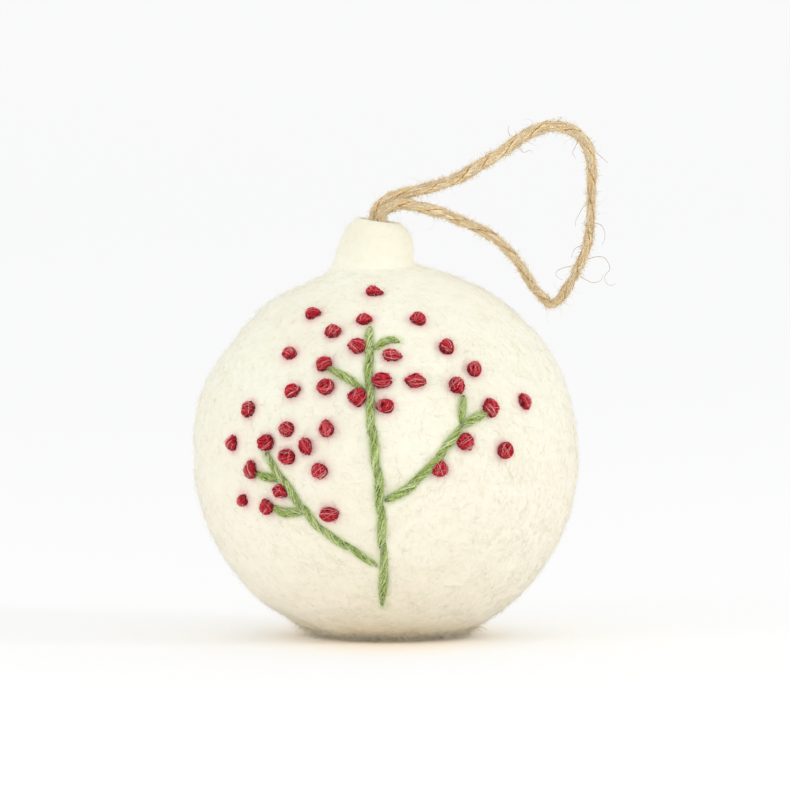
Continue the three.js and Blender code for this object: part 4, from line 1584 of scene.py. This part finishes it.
def make_stitches():
    rng = np.random.default_rng(34)
    extra = round(THREAD_OVERLAP / STITCH_STEP)
    for name, width, line, meets in runs:
        shape = Shape()
        for start, stop in zip(meets, meets[1:]):
            low, high = max(start - extra, 0), min(stop + extra, len(line) - 1)
            stitch = Stitch(line[low : high + 1], width, rng)
            stitch.add_strands(shape, rng)
            stitch.add_core(shape, rng)
            stitch.add_loose_hairs(shape, rng)
        piece = shape.make(name.replace("_stitches", "") + "_thread", GREEN)
        settle(piece, "green_thread", name)


make_stitches()


# Loose wool on the felt

FUZZ_PIECES = 4
FUZZ_PER_PIECE = 6000
NECK_FUZZ = 900
EDGE_FUZZ = 1300
FLECKS = 320
STRAY_COUNT = 900
SHED_REACH = 0.002, 0.009
FLOOR_MARGIN = 0.0006
FLECKS_ABOVE = 0.002
ROOT_JITTER = 0.0002

# The fringe over the floor: its height and spread, and how far round to the back it goes.
FRINGE_HEIGHT = 0.0014, 0.0009
FRINGE_BACK = 0.004


def felt_roots(count, weight, rng):
    """Random places on the ball's felt, more of them where the weight is larger, with the way out."""
    pick = rng.choice(len(ball_points), count, p=weight / weight.sum())
    out = ball_outward[pick]
    jitter = rng.normal(size=(count, 3)) * ROOT_JITTER
    return ball_points[pick] + jitter - out * (jitter * out).sum(1, keepdims=True), out


def rubbed_side(way, sharpness):
    """1 on the side of the ball that faces this way, falling to 0 a quarter of the way round."""
    return np.clip(ball_outward @ unit(way), 0, 1) ** sharpness


def make_fuzz():
    """Short hairs that lie on the felt, more of them low on the right, and a fringe over the floor."""
    rng = np.random.default_rng(55)
    height = ball_points[:, 2]
    even = (np.linalg.norm(ball_outward[:, :2], axis=1) + 1e-3) * (height > FLOOR_MARGIN)
    rubbed = even * (0.75 + 0.8 * rubbed_side((0.5, -0.7, -0.5), 2))
    fringe = bell(height, *FRINGE_HEIGHT) * (ball_points[:, 1] < FRINGE_BACK)
    for number in range(1, FUZZ_PIECES + 1):
        shape = Shape()
        scatter(shape, *felt_roots(FUZZ_PER_PIECE, rubbed, rng), *FELT_HAIRS, rng)
        if number == 1:
            pick = rng.integers(0, len(neck_points), NECK_FUZZ)
            scatter(shape, neck_points[pick], neck_outward[pick], *NECK_HAIRS, rng)
        if number == 2:
            scatter(shape, *felt_roots(EDGE_FUZZ, even * fringe, rng), *FRINGE_HAIRS, rng)
        settle(shape.make(f"felt_fuzz_{number}", WOOL_HAIR), "ivory_felt")


def make_stray_fibres():
    """Fibres that the threads shed round the sprig, and greyish flecks low on the right."""
    rng = np.random.default_rng(56)
    shape = Shape()
    near = nearness(ball_points, np.concatenate([BERRY_FEET, STITCH_FEET]), *SHED_REACH)
    scatter(shape, *felt_roots(STRAY_COUNT, near**2 + 1e-9, rng), *SHED_HAIRS, rng)
    rubbed = rubbed_side((0.45, -0.8, -0.4), 3) * (ball_points[:, 2] > FLECKS_ABOVE)
    scatter(shape, *felt_roots(FLECKS, rubbed, rng), *FLECK_HAIRS, rng)
    settle(shape.make("stray_fibres", STRAY_HAIR), "green_thread")


make_fuzz()
make_stray_fibres()


# Inside: the wool ball and the stopper knot

CORE_RIPPLES = [(0.00035, 0.012, 28), (0.0002, 0.004, 28)]
CORE_GAP = 0.0006
POCKET_RADIUS = 0.0045

# The stopper knot is this many twines thick. Its tails run down through these places, right and out from
# the hole's middle, the third of them a little lower than midway and the last just above the knot's foot.
KNOT_POINTS = 220
KNOT_TWINES = 2.2
TAIL_PLACES = [(0, 0.0006), (0.0002, 0.0014), (-0.0002, 0.0021), (0.0001, 0.0025)]
TAIL_DROP = 0.001
TAIL_MARGIN = 0.0003


def make_wool_core():
    """The ball of loose wool, with a pocket at its top for the stopper knot."""
    rng = np.random.default_rng(70)
    directions, faces = icosphere(6)
    directions = unit(directions)
    radius = BALL_RADIUS - FELT_THICKNESS - CLEARANCE
    points = directions * radius
    height = ripples(points, CORE_RIPPLES, rng)
    points = MIDDLE + directions * (radius - CORE_GAP + height)[:, None]
    floor = FELT_THICKNESS + CLEARANCE
    points[:, 2] = floor + press_flat(points[:, 2] - floor)
    pocket_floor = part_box("stopper_knot")[0].z - CLEARANCE
    away = np.hypot(points[:, 0] - EXIT_ACROSS, points[:, 1])
    into = smooth_step(1 - (away - POCKET_RADIUS * 0.75) / (POCKET_RADIUS * 0.5))
    into = into * (points[:, 2] > BALL_MIDDLE)
    points[:, 2] += into * (pocket_floor - points[:, 2])
    shape = Shape()
    shape.add(points, [], faces)
    core = shape.make("wool_ball", BATTING)
    settle(core, "wool_batting", "wool_core")


def make_stopper_knot():
    """An overhand knot in the doubled twine, with two cut tails that hang below it."""
    rng = np.random.default_rng(80)
    low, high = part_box("stopper_knot")
    width = (high.x - low.x) / 2 - TWINE_DIAMETER / 2
    body = TWINE_DIAMETER * KNOT_TWINES
    middle = high.z - body / 2
    share = np.linspace(0, math.tau, KNOT_POINTS)
    x = EXIT_ACROSS + width * (np.sin(share) + 2 * np.sin(2 * share)) / 3
    y = width * (np.cos(share) - 2 * np.cos(2 * share)) / 3
    z = middle - (body - TWINE_DIAMETER) / 2 * np.sin(3 * share)
    shape = Shape()
    Twine(np.stack([x, y, z], -1)[:-2], 0.5).add_plies(shape, rng)
    heights = (middle, middle - body / 2, (middle + low.z) / 2 - TAIL_DROP, low.z + TAIL_MARGIN)
    for side in (-1, 1):
        tail = [(EXIT_ACROSS + right, side * out, z) for (right, out), z in zip(TAIL_PLACES, heights)]
        Twine(smooth_route(tail, TWINE_STEP), side).add_plies(shape, rng)
    settle(shape.make("twine_knot", JUTE), "jute_twine", "stopper_knot")


make_wool_core()
make_stopper_knot()
